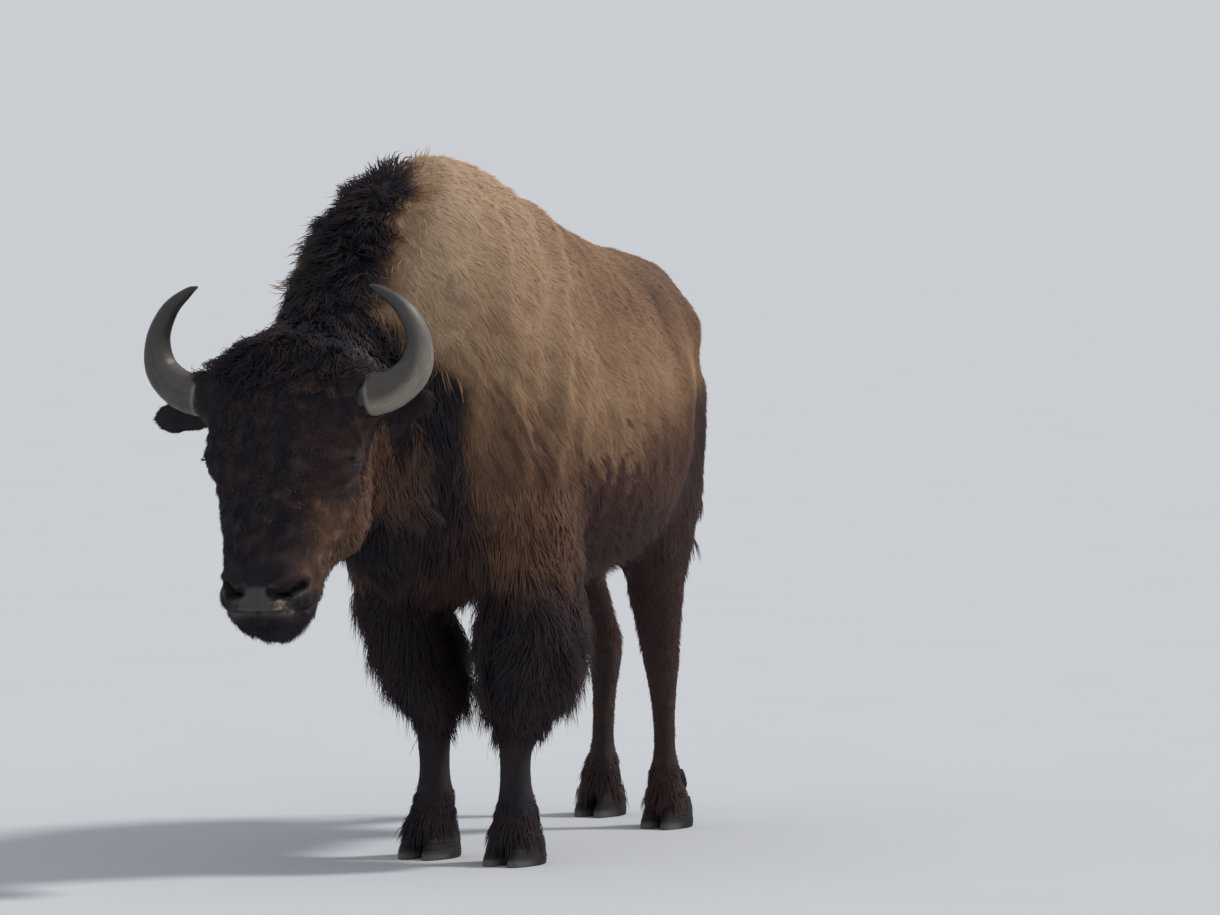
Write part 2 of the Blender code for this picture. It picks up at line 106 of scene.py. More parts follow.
def nearest(cloud: np.ndarray, spot: tuple) -> np.ndarray:
    """The point of a cloud that is closest to a spot."""
    return cloud[np.argmin(((cloud - np.array(spot)) ** 2).sum(axis=1))]


def away_from_line(cloud: np.ndarray, path: list[np.ndarray]) -> np.ndarray:
    """Distance of each point of a cloud to a broken line."""
    best = np.full(len(cloud), np.inf)
    for start, end in zip(path, path[1:]):
        run = end - start
        share = np.clip((cloud - start) @ run / max(run @ run, 1e-12), 0.0, 1.0)
        best = np.minimum(best, np.linalg.norm(cloud - start - share[:, None] * run, axis=1))
    return best


def middle_of(node: str) -> Vector:
    """Centre of a solid node's box."""
    low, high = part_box(node)
    return (low + high) / 2.0


@dataclass(frozen=True)
class HeadFrame:
    """The head's own axes: across to its left, down the face, and out of the face."""

    yaw: float = 4.0
    pitch: float = 72.0
    roll: float = 1.0
    eye_down: float = 0.288
    eye_out: float = -0.043

    def axes(self) -> Matrix:
        """Matrix whose columns are across, down and out."""
        yaw, pitch = math.radians(self.yaw), math.radians(self.pitch)
        ahead = Vector((math.sin(yaw), -math.cos(yaw), 0.0))
        across = Vector((math.cos(yaw), math.sin(yaw), 0.0))
        down = ahead * math.cos(pitch) - Vector((0, 0, math.sin(pitch)))
        out = ahead * math.sin(pitch) + Vector((0, 0, math.cos(pitch)))
        turned = Matrix((across, down, out)).transposed()
        return Matrix.Rotation(math.radians(self.roll), 3, ahead) @ turned

    def ahead(self) -> Vector:
        """Level direction that the head faces."""
        yaw = math.radians(self.yaw)
        return Vector((math.sin(yaw), -math.cos(yaw), 0.0))

    def crown(self) -> Vector:
        """Origin of the frame, at the top of the face, found from the eyes."""
        eyes = (middle_of("eye_left") + middle_of("eye_right")) / 2.0
        return eyes - self.axes() @ Vector((0.0, self.eye_down, self.eye_out))

    def place(self, across: float, down: float, out: float) -> Vector:
        """A point of the head in the row frame."""
        return self.crown() + self.axes() @ Vector((across, down, out))

    def read(self, points: np.ndarray) -> np.ndarray:
        """Head coordinates of many points."""
        return (points - np.array(self.crown())) @ np.array(self.axes())


HEAD = HeadFrame()


class Zone(Enum):
    """Stretches of coat that grow in their own way."""

    TAIL = "tail"
    EAR = "ear"
    MUZZLE = "muzzle"
    BEARD = "beard"
    CROWN = "crown"
    FOREHEAD = "forehead"
    FACE = "face"
    CREST = "crest"
    CHEEK = "cheek"
    NECK = "neck"
    CHEST = "chest"
    CHAPS = "chaps"
    CANNON = "cannon"
    PASTERN = "pastern"
    SHANK = "shank"
    THIGH = "thigh"
    BELLY = "belly"
    PATCH = "patch"
    SHOULDER = "shoulder"
    RUMP = "rump"
    CAPE = "cape"
    FLANK = "flank"


ZONES = list(Zone)


@dataclass(frozen=True)
class Growth:
    """How the hair of one zone grows.

    density is in tufts per square metre, length, width and depth are in metres, lift is
    in degrees off the skin, rings is the number of rings under a tuft's tip, rough is how
    much lift and length vary from place to place, and wisps is the share of long thin tufts.
    """

    density: float
    length: float
    width: float
    lift: float
    depth: float
    rings: int = 1
    droop: float = 0.0
    clump: float = 0.3
    curl: float = 0.0
    stray: float = 12.0
    rough: float = 1.0
    wisps: float = 0.0


GROWTH = {
    Zone.TAIL: Growth(26e3, 0.050, 0.0026, 14, 0.012, 2, 0.8, 0.4),
    Zone.EAR: Growth(150e3, 0.011, 0.0014, 26, 0.003, 1, 0.0, 0.10, rough=0.4),
    Zone.MUZZLE: Growth(125e3, 0.011, 0.0013, 28, 0.001, 1, 0.0, 0.10, wisps=0.01),
    Zone.BEARD: Growth(95e3, 0.015, 0.0013, 40, 0.004, 2, 0.4, 0.20, 0.2, 25, wisps=0.06),
    Zone.CROWN: Growth(44e3, 0.048, 0.0027, 46, 0.030, 3, 0.5, 0.45, 1.0, 28, wisps=0.03),
    Zone.FOREHEAD: Growth(54e3, 0.027, 0.0020, 42, 0.011, 3, 0.3, 0.42, 1.3, 40, wisps=0.02),
    Zone.FACE: Growth(108e3, 0.015, 0.0016, 28, 0.005, 1, 0.0, 0.30, 0.0, 28, rough=0.9),
    Zone.CREST: Growth(40e3, 0.055, 0.0026, 52, 0.036, 3, 0.15, 0.35, 0.5, 24, wisps=0.04),
    Zone.CHEEK: Growth(56e3, 0.028, 0.0022, 24, 0.010, 2, 0.3, 0.40, 0.3),
    Zone.NECK: Growth(36e3, 0.062, 0.0028, 28, 0.024, 2, 0.7, 0.50, 0.45, 20, wisps=0.02),
    Zone.CHEST: Growth(32e3, 0.078, 0.0025, 26, 0.028, 2, 1.0, 0.35, 0.3, 18, wisps=0.02),
    Zone.CHAPS: Growth(39e3, 0.085, 0.0021, 31, 0.030, 2, 0.7, 0.22, 0.35, 22, wisps=0.04),
    Zone.CANNON: Growth(60e3, 0.012, 0.0018, 14, 0.006, 1, 0.0, 0.15, rough=0.5),
    Zone.PASTERN: Growth(86e3, 0.060, 0.0023, 30, 0.009, 2, 0.9, 0.22, 0.1, 14, wisps=0.04),
    Zone.SHANK: Growth(62e3, 0.015, 0.0019, 24, 0.006, 1, 0.0, 0.20, rough=0.5),
    Zone.THIGH: Growth(56e3, 0.026, 0.0022, 20, 0.010, 1, 0.0, 0.30),
    Zone.BELLY: Growth(24e3, 0.045, 0.0024, 26, 0.012, 1, 0.8, 0.4, 0.3),
    Zone.PATCH: Growth(62e3, 0.026, 0.0022, 22, 0.010, 1, 0.0, 0.35),
    Zone.SHOULDER: Growth(50e3, 0.034, 0.0024, 22, 0.014, 2, 0.5, 0.30),
    Zone.RUMP: Growth(67e3, 0.025, 0.0021, 17, 0.008, 1, 0.0, 0.20, 0.0, 9, 0.45),
    Zone.CAPE: Growth(69e3, 0.028, 0.0021, 18, 0.010, 1, 0.0, 0.20, 0.0, 9, 0.45),
    Zone.FLANK: Growth(69e3, 0.026, 0.0021, 17, 0.008, 1, 0.0, 0.20, 0.0, 9, 0.45),
}


@dataclass(frozen=True)
class Landmarks:
    """Levels and lines on the body that coat and markings share, in metres."""

    cape_line: tuple = ((0.60, -0.350), (0.90, -0.485), (1.02, -0.520), (1.09, -0.605), (1.18, -0.655),
                        (1.30, -0.574), (1.38, -0.512), (1.45, -0.418), (1.50, -0.335))
    off_side: float = 0.06
    head_back: float = -0.64
    chin: float = 0.40
    crest_low: float = 1.07
    neck_low: float = 0.74
    chaps_top: float = 0.60
    chaps_end: float = 0.275
    fetlock: float = 0.135
    sole_edge: float = 0.0615
    haunch: tuple = (0.575, 0.335)
    haunch_slope: float = 0.72
    ear_root: float = 0.172
    ear_down: tuple = (0.09, 0.25)
    ear_out: tuple = (-0.22, -0.045)
    ear_back: float = -0.6
    tail_reach: float = 0.085
    tail_side: float = 0.012
    tail_top: float = 0.04
    nostril: tuple = ((0.038, 0.587, 0.02), (0.062, 0.578, 0.0), (0.084, 0.553, -0.02))
    nose_down: float = 0.588

    def cape_edge(self, points: np.ndarray) -> np.ndarray:
        """How far back the pale cape starts beside each point, further on the off side."""
        height = points[:, 2]
        levels, backs = zip(*self.cape_line)
        off = self.off_side * ramp(-points[:, 0], -0.03, 0.06) * ramp(height, 1.05, 1.2)
        return np.interp(height, levels, backs) + off

    def in_tail(self, points: np.ndarray) -> np.ndarray:
        """True for the points of the tail."""
        low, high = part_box("tail")
        return ((points[:, 1] > high.y - self.tail_reach) & (points[:, 0] > low.x - self.tail_side)
                & (points[:, 0] < high.x + self.tail_side) & (points[:, 2] < high.z - self.tail_top))

    def in_ears(self, head: np.ndarray, points: np.ndarray) -> np.ndarray:
        """True for the points of the ears."""
        side, down, out = np.abs(head[:, 0]), head[:, 1], head[:, 2]
        return ((side > self.ear_root) & (down > self.ear_down[0]) & (down < self.ear_down[1])
                & (out > self.ear_out[0]) & (out < self.ear_out[1]) & (points[:, 1] < self.ear_back))

    def in_thighs(self, points: np.ndarray) -> np.ndarray:
        """True below the sloping line where the haunch starts."""
        level, back = self.haunch
        return points[:, 2] < level + self.haunch_slope * (points[:, 1] - back)


MARKS = Landmarks()


@dataclass(frozen=True)
class Ridge:
    """A soft ridge or hollow down the side of the body: points give how far back and how high."""

    points: tuple
    reach: float
    height: float

    def swell(self, places: np.ndarray) -> np.ndarray:
        """How far the ridge lifts each place."""
        away = away_from_line(places[:, 1:], [np.array(point) for point in self.points])
        return self.height * bell(away, 0.0, self.reach) * ramp(np.abs(places[:, 0]), 0.04, 0.12)


RIDGES = (
    Ridge(((-0.30, 1.38), (-0.38, 1.20), (-0.41, 1.02), (-0.38, 0.85)), 0.030, 0.009),
    Ridge(((0.00, 1.36), (-0.15, 1.20), (-0.24, 1.02), (-0.27, 0.84), (-0.28, 0.72)), 0.032, 0.010),
    Ridge(((-0.10, 1.32), (-0.26, 1.14), (-0.32, 0.96), (-0.33, 0.80)), 0.028, -0.008),
    Ridge(((0.06, 1.18), (-0.06, 1.02), (-0.14, 0.84)), 0.040, -0.006),
    Ridge(((0.50, 1.20), (0.46, 1.00), (0.40, 0.84)), 0.045, 0.006),
    Ridge(((0.62, 1.14), (0.60, 0.96), (0.56, 0.82)), 0.035, -0.006),
)


def zones_at(points: np.ndarray, normals: np.ndarray) -> np.ndarray:
    """The zone of each point of the skin, as its index in ZONES."""
    head = HEAD.read(points)
    side, down, out = np.abs(head[:, 0]), head[:, 1], head[:, 2]
    back, height = points[:, 1], points[:, 2]
    in_head = (back < MARKS.head_back) & (height > MARKS.chin)
    by_eye = np.min([away_from(points, middle_of(f"eye_{name}")) for name in SIDES], axis=0)
    dark = back < MARKS.cape_edge(points)
    front_leg = (height < MARKS.chaps_top) & (back < 0.05)
    hind_leg = (height < 0.52) & (back > 0.3)
    narrowing = side < 0.125 - 0.35 * np.clip(down - 0.30, 0, 1)
    rules = (
        (Zone.TAIL, MARKS.in_tail(points)),
        (Zone.EAR, MARKS.in_ears(head, points)),
        (Zone.BEARD, in_head & ((down > 0.636) | ((down > 0.52) & (out < -0.10)))),
        (Zone.MUZZLE, (in_head & (down > 0.50)) | (by_eye < 0.040)),
        (Zone.CROWN, in_head & (down < 0.115) & (out > -0.14)),
        (Zone.FOREHEAD, in_head & (out > -0.075) & (down < 0.45) & narrowing),
        (Zone.FACE, in_head & (out > -0.10)),
        (Zone.CREST, dark & (height > MARKS.crest_low)),
        (Zone.CHEEK, in_head & (down > 0.10)),
        (Zone.NECK, dark & (height > MARKS.neck_low)),
        (Zone.PASTERN, height < MARKS.fetlock),
        (Zone.CHAPS, front_leg & (height > MARKS.chaps_end)),
        (Zone.CANNON, front_leg),
        (Zone.SHANK, hind_leg),
        (Zone.CHEST, dark | ((height < 0.70) & (back < -0.24))),
        (Zone.BELLY, (height < 0.72) & (normals[:, 2] < -0.45) & (back < 0.42)),
        (Zone.THIGH, (height < 0.90) & (back > 0.36) & MARKS.in_thighs(points)),
        (Zone.PATCH, (height < 0.85) & (back > -0.20) & (back < 0.45)),
        (Zone.SHOULDER, (height < 0.80) & (back <= -0.20)),
        (Zone.RUMP, back > 0.50),
        (Zone.CAPE, back < -0.02),
    )
    return np.select([mask for _, mask in rules],
                     [ZONES.index(zone) for zone, _ in rules], ZONES.index(Zone.FLANK))


class Shape(Enum):
    """How a mask runs along its measure."""

    RISE = "rise"
    FALL = "fall"
    BAND = "band"
    BELL = "bell"


@dataclass(frozen=True)
class Mask:
    """Where a marking shows, read along one measure of the body.

    low and high are where the mask starts and ends, or the middle and width of a bell. soft is
    the width of a band's edges, and least is what is left where the mask is empty.
    """

    shape: Shape
    measure: str
    low: float
    high: float
    soft: float = 0.0
    least: float = 0.0

    def read(self, measures: dict[str, np.ndarray]) -> np.ndarray:
        """The mask's share at each point, from 0 to 1."""
        value = measures[self.measure]
        if self.shape is Shape.BELL:
            share = bell(value, self.low, self.high)
        elif self.shape is Shape.BAND:
            share = between(value, self.low, self.high, self.soft)
        else:
            share = ramp(value, self.low, self.high)
        if self.shape is Shape.FALL:
            share = 1.0 - share
        return self.least + (1.0 - self.least) * share


RISE, FALL, BAND, BELL = (partial(Mask, shape) for shape in Shape)


class Action(Enum):
    """What a marking does to the tone under it."""

    ADD = "add"
    TINT = "tint"
    LIFT = "lift"


@dataclass(frozen=True)
class Marking:
    """One marking: what it does, how strong or how light it is, and where."""

    action: Action
    tone: float
    masks: tuple

    def over(self, base: np.ndarray, measures: dict[str, np.ndarray]) -> np.ndarray:
        """The tone once this marking lies over a base tone."""
        share = np.prod([mask.read(measures) for mask in self.masks], axis=0)
        if self.action is Action.ADD:
            return base + self.tone * share
        if self.action is Action.TINT:
            return base + (self.tone - base) * share
        return np.maximum(base, self.tone * share)


ADD, TINT, LIFT = (partial(Marking, action) for action in Action)

BODY_MARKINGS = {
    "paler hump": ADD(0.13, (RISE("height", 1.02, 1.42),)),
    "darker hindquarters": ADD(-0.15, (RISE("back", 0.25, 0.85),)),
    # Dark spots where the coat parts: painted shade in the partings.
    "dapples": ADD(-0.08, (RISE("dapple", 1.2, 2.0),)),
    # Painted light: a paler strip of cape behind the crest, on the side away from the key lamp.
    "painted light behind the crest": ADD(0.10, (
        RISE("edge", 0.02, 0.05), FALL("edge", 0.06, 0.24), RISE("height", 0.95, 1.15))),
    # Painted shade: the top of the loin and of the back behind the hump are darkened against the strong light
    # from above.
    "painted shade on the loin": ADD(-0.06, (RISE("back", 0.20, 0.60), RISE("height", 1.08, 1.25))),
    "back": ADD(-0.24, (RISE("back", -0.18, 0.12), RISE("height", 1.00, 1.20))),
    # Painted shade in a parting of the coat over the hip.
    "painted shade in the hip parting": ADD(-0.10, (BELL("back", 0.40, 0.035), BAND("height", 1.00, 1.24, 0.05))),
    "shoulder streaks": ADD(-0.20, (
        RISE("streaks", 0.0, 1.4), BAND("height", 0.70, 1.10, 0.07), BAND("edge", 0.02, 0.20, 0.05))),
    "shaded flank": ADD(-0.30, (FALL("low", 0.72, 1.08), FALL("back", -0.2, 0.0, least=0.6))),
    "brisket": TINT(0.30, (FALL("low", 0.58, 0.74), FALL("back", -0.1, 0.1))),
    "lower flank": TINT(0.34, (FALL("low", 0.78, 1.02), RISE("back", 0.02, 0.22))),
    "dark patch": TINT(0.13, (BAND("patchy", -0.18, 0.30, 0.06), FALL("ragged", 0.76, 0.87))),
    "tail head": TINT(0.44, (RISE("back", 0.66, 0.86), FALL("height", 1.12, 1.32))),
    "haunch": TINT(0.08, (FALL("low", 0.72, 1.06), RISE("back", 0.28, 0.48))),
    "thigh": TINT(0.04, (
        RISE("back", 0.46, 0.58), FALL("height", 0.90, 1.02), RISE("height", 0.499, 0.501))),
    "buttock": TINT(0.10, (RISE("back", 0.80, 0.92), FALL("height", 0.95, 1.20))),
    "belly": TINT(0.12, (FALL("low", 0.54, 0.62),)),
    "chaps": TINT(0.085, (FALL("back", -0.05, 0.08), FALL("low", 0.54, 0.66))),
    "dark mane": TINT(0.035, (FALL("behind", -0.016, 0.030),)),
    "brown neck": ADD(0.30, (
        FALL("behind", -0.016, 0.030), FALL("behind", -0.095, -0.055), BAND("swirl", 0.745, 1.04, 0.05))),
    "chest": TINT(0.03, (FALL("behind", -0.016, 0.030), FALL("height", 0.68, 0.80))),
}

# Masks that rise along the across measure favour the face's left side, which faces the key lamp: the extra
# tone there is painted light.
FACE_MARKINGS = {
    # Brown curls; their extra strength on the left side is painted light.
    "brown curls": ADD(0.19, (
        RISE("across", -0.04, 0.07, least=0.316), RISE("curls", 0.0, 1.1), BAND("down", 0.12, 0.54, 0.04))),
    # Pale flecks in the curls; their extra strength on the left side is painted light.
    "flecks": ADD(0.21, (
        RISE("across", -0.04, 0.07, least=0.238), RISE("flecks", 0.2, 1.2), BAND("down", 0.10, 0.50, 0.04),
        RISE("curls", -0.9, 0.4), RISE("by_eye", 0.045, 0.075))),
    # Painted highlight on the bulge of each nose wing, brighter on the left.
    "painted highlight on the nose wings": ADD(0.16, (
        RISE("across", -0.04, 0.07, least=0.375), BELL("side", 0.086, 0.020), BELL("down", 0.546, 0.018))),
    # Painted light on the lit left jaw.
    "painted light on the left jaw": ADD(0.36, (RISE("across", 0.060, 0.11), BAND("down", 0.37, 0.55, 0.05))),
    "pale specks": ADD(0.90, (
        RISE("specks", -0.2, 0.9), BAND("across", 0.036, 0.070, 0.008), BAND("down", 0.584, 0.612, 0.006))),
    "cheek": TINT(0.40, (RISE("inward", 0.08, 0.15), BAND("down", 0.08, 0.56, 0.05))),
    # Painted highlight on the left cheek bone.
    "painted highlight on the left cheek bone": ADD(0.16, (BELL("across", 0.158, 0.010), BAND("down", 0.26, 0.36, 0.02))),
}

RUST_MARKINGS = {
    "lower shoulder": LIFT(0.55, (
        FALL("height", 0.70, 0.92), RISE("height", 0.56, 0.64), RISE("back", -0.50, -0.36))),
    "hind flank": LIFT(0.9, (
        BAND("height", 0.66, 0.98, 0.08), RISE("back", -0.12, 0.30), FALL("back", 0.42, 0.56, least=0.4))),
    "dark patch": LIFT(0.8, (
        BAND("height", 0.60, 0.86, 0.06), BAND("back", -0.20, 0.25, 0.08))),
    # Rust rising towards the left side, which faces the key lamp: the extra is painted light over the legs'
    # own rust.
    "hind legs": LIFT(0.50, (
        RISE("x", 0.10, 0.22, least=0.8), FALL("height", 0.55, 0.75), RISE("back", 0.3, 0.4))),
    # Rust on the left cheek only: painted light on the side facing the key lamp.
    "cheek": LIFT(0.40, (
        BAND("down", 0.20, 0.56, 0.05), FALL("back", -0.66, -0.58), RISE("across", 0.02, 0.12))),
}


@dataclass(frozen=True)
class Colouring:
    """Where the coat is pale, dark or rusty, as smooth functions of place, some of it painted light and
    shade.
    """

    body_tone: float = 0.79
    face_tone: float = 0.02
    ear_tone: float = 0.04
    foot_tone: float = 0.05
    least_rust: float = 0.04

    def measures(self, points: np.ndarray) -> dict[str, np.ndarray]:
        """The named measures of each point that the masks read."""
        head = HEAD.read(points)
        x, back, height = points.T
        soft = ripple(points, 0.16, 1) * 0.6 + ripple(points, 0.06, 2) * 0.4
        edge, low = back - MARKS.cape_edge(points), height + 0.02 * soft
        across_lie = np.column_stack([x * 0.3, back * 0.85 + height * 0.55, height * 0.22])
        return {
            "x": x, "back": back, "height": height, "soft": soft, "low": low, "edge": edge,
            "behind": edge + 0.009 * soft, "patchy": back + 0.03 * soft, "swirl": height + 0.035 * soft,
            "ragged": low + 0.06 * ripple(points, 0.05, 6), "dapple": ripple(points, 0.075, 8),
            "streaks": ripple(across_lie, 0.027, 12), "curls": ripple(points, 0.045, 4),
            "flecks": ripple(points, 0.026, 9), "specks": ripple(points, 0.007, 13),
            "across": head[:, 0], "side": np.abs(head[:, 0]), "down": head[:, 1], "inward": -head[:, 2],
            "by_eye": away_from(points, middle_of("eye_left")),
            "in_ears": MARKS.in_ears(head, points).astype(float),
        }

    def tones(self, points: np.ndarray) -> tuple[np.ndarray, np.ndarray]:
        """Lightness and rust of the coat.

        Args:
            points: Places on the skin, one row each.

        Returns:
            Lightness, from 0 for black brown to 1 for the palest hump, and rust from 0 to 1.
        """
        measures = self.measures(points)
        tone = self.body_tone + 0.03 * measures["soft"]
        for marking in BODY_MARKINGS.values():
            tone = marking.over(tone, measures)
        face = self.face_tone
        for marking in FACE_MARKINGS.values():
            face = marking.over(face, measures)
        in_head = FALL("back", MARKS.head_back - 0.02, MARKS.head_back + 0.03).read(measures)
        tone += (face - tone) * in_head * ramp(measures["down"], 0.06, 0.12)
        tone += (self.ear_tone - tone) * measures["in_ears"]
        tone += (self.foot_tone - tone) * FALL("height", 0.16, 0.32).read(measures)
        rust = 0.0
        for marking in RUST_MARKINGS.values():
            rust = marking.over(rust, measures)
        rust = rust + 0.10 * ripple(points, 0.09, 3) + self.least_rust
        return np.clip(tone, 0.0, 1.0), np.clip(rust, 0.0, 1.0)


COLOURING = Colouring()


class Weaver:
    """Adds and joins nodes in one tree."""

    def __init__(self, tree: bpy.types.NodeTree) -> None:
        """Starts on an empty tree."""
        self.tree = tree
        tree.nodes.clear()

    def add(self, kind: str, inputs: dict | None = None, **settings) -> bpy.types.Node:
        """Adds a node.

        Args:
            kind: The node's type, without its ShaderNode prefix, or a full name.
            inputs: A value or an output socket for each input, by name or number.
            settings: Properties of the node.

        Returns:
            The node.
        """
        full = kind if kind.startswith("Node") else "ShaderNode" + kind
        node = self.tree.nodes.new(full)
        for key, value in settings.items():
            setattr(node, key, value)
        for key, value in (inputs or {}).items():
            if isinstance(value, bpy.types.NodeSocket):
                self.tree.links.new(value, node.inputs[key])
            else:
                node.inputs[key].default_value = value
        return node

    def math(self, operation: str, *values: float | bpy.types.NodeSocket) -> bpy.types.NodeSocket:
        """Output of one sum on values or sockets."""
        inputs = dict(enumerate(values))
        return self.add("Math", inputs, operation=operation).outputs[0]

    def mix(self, factor: object, first: object, second: object, kind: str = "MIX") -> bpy.types.NodeSocket:
        """Output of two colours mixed."""
        node = self.add("Mix", {0: factor, 6: first, 7: second}, data_type="RGBA", blend_type=kind)
        return node.outputs[2]

    def read(self, name: str) -> bpy.types.NodeSocket:
        """Value of a mesh attribute."""
        return self.add("Attribute", attribute_name=name).outputs["Fac"]

    def stops(self, factor: object, colours: tuple | list) -> bpy.types.NodeSocket:
        """Output of a colour ramp over the given stops."""
        node = self.add("ValToRGB", {0: factor})
        bar = node.color_ramp.elements
        while len(bar) < len(colours):
            bar.new(0.5)
        for element, (place, colour) in zip(bar, colours):
            element.position = place
            element.color = (*colour, 1.0)
        return node.outputs[0]

    def noise(self, scale: float, detail: float = 3.0, stretch: tuple = (1, 1, 1)) -> bpy.types.NodeSocket:
        """Value of a noise on Object coordinates."""
        place = self.add("TexCoord").outputs["Object"]
        mapped = self.add("Mapping", {0: place, 3: stretch}).outputs[0]
        return self.add("TexNoise", {0: mapped, "Scale": scale, "Detail": detail}).outputs[0]

    def threads(self, values: tuple, stretch: tuple, scale: float, detail: float) -> bpy.types.NodeSocket:
        """Value of a noise on two sockets, each stretched by its own factor."""
        scaled = {number: self.math("MULTIPLY", value, factor)
                  for number, (value, factor) in enumerate(zip(values, stretch))}
        place = self.add("CombineXYZ", scaled).outputs[0]
        return self.add("TexNoise", {0: place, "Scale": scale, "Detail": detail}).outputs[0]

    def bump(self, height: bpy.types.NodeSocket, strength: float, distance: float) -> bpy.types.NodeSocket:
        """Normal of a surface with a fine relief."""
        inputs = {"Strength": strength, "Distance": distance, "Height": height}
        return self.add("Bump", inputs).outputs[0]

    def surface(self, inputs: dict) -> None:
        """Joins a Principled shader with the given inputs to the material's output."""
        shader = self.add("BsdfPrincipled", inputs)
        self.add("OutputMaterial", {0: shader.outputs[0]})


class MarkingPaint:
    """The node group that turns shade, warmth and tuft values into the coat's colour, darker towards each
    tuft's root as painted shade and paler at the tip.
    """

    NAME = "coat_colour"
    BARS = [(0.0, (0.0058, 0.0049, 0.0108)), (0.22, (0.041, 0.0255, 0.0245)),
            (0.48, (0.126, 0.064, 0.037)), (0.75, (0.290, 0.172, 0.098)),
            (1.0, (0.420, 0.290, 0.188))]
    RUST = (0.100, 0.041, 0.024, 1.0)

    @classmethod
    def group(cls) -> bpy.types.NodeTree:
        """The group, built the first time it is asked for."""
        made = bpy.data.node_groups.get(cls.NAME)
        if made:
            return made
        tree = bpy.data.node_groups.new(cls.NAME, "ShaderNodeTree")
        for name in ("Shade", "Warm", "Lock", "Along"):
            tree.interface.new_socket(name=name, in_out="INPUT", socket_type="NodeSocketFloat")
        tree.interface.new_socket(name="Color", in_out="OUTPUT", socket_type="NodeSocketColor")
        weave = Weaver(tree)
        values = weave.add("NodeGroupInput").outputs
        patch = weave.noise(11.0, 4.0)
        uneven = weave.math("MULTIPLY_ADD", weave.math("SUBTRACT", patch, 0.5), 0.16, values["Shade"])
        spread = weave.math("MULTIPLY_ADD", weave.math("SUBTRACT", values["Lock"], 0.5), 0.16, 0.0)
        spread = weave.math("MULTIPLY", spread, weave.math("ADD", values["Shade"], 0.25))
        shade = weave.math("ADD", uneven, spread)
        colour = weave.stops(shade, cls.BARS)
        rusty = weave.math("MULTIPLY", values["Warm"], weave.math("SUBTRACT", 1.05, values["Shade"]))
        colour = weave.mix(weave.math("MULTIPLY", rusty, 0.55), colour, cls.RUST)
        # Painted shade: each tuft darkens towards its root, most in dark hair, and its tip is paler.
        pale = weave.math("MULTIPLY_ADD", values["Along"], 0.50, 0.66)
        deep = weave.math("MULTIPLY_ADD", values["Along"], 1.30, 0.40)
        light = weave.add("Mix", {0: values["Shade"], 2: deep, 3: pale}).outputs[0]
        grey = weave.add("CombineColor", {0: light, 1: light, 2: light}).outputs[0]
        colour = weave.mix(1.0, colour, grey, "MULTIPLY")
        weave.add("NodeGroupOutput", {"Color": colour})
        return tree


@dataclass(frozen=True)
class Finish:
    """A surface finish; its material is made the first time it is asked for."""

    name: str

    def material(self) -> bpy.types.Material:
        """The material of this finish."""
        made = bpy.data.materials.get(self.name)
        if made is None:
            made = bpy.data.materials.new(self.name)
            made.use_nodes = True
            self.paint(Weaver(made.node_tree))
        return made

    def paint(self, weave: Weaver) -> None:
        """Builds the nodes of the material."""
        raise NotImplementedError


@dataclass(frozen=True)
class FurFinish(Finish):
    """Hair in tufts: coloured by the markings, paler at the tips and darkened at the roots as painted shade.
    """

    roughness: float = 0.66
    sheen: float = 0.04
    gloss: float = 0.22

    def paint(self, weave: Weaver) -> None:
        """Builds the nodes of the material."""
        coat = weave.add("Group", node_tree=MarkingPaint.group())
        for key in ("Shade", "Warm", "Lock", "Along"):
            weave.tree.links.new(weave.read(key.lower()), coat.inputs[key])
        grain = weave.noise(420.0, 2.0, (1, 1, 0.35))
        weave.surface({
            "Base Color": coat.outputs["Color"], "Normal": weave.bump(grain, 0.5, 0.0006),
            "Roughness": weave.math("MULTIPLY_ADD", grain, 0.25, self.roughness - 0.10),
            "Specular IOR Level": self.gloss, "Sheen Weight": self.sheen, "Sheen Roughness": 0.45})


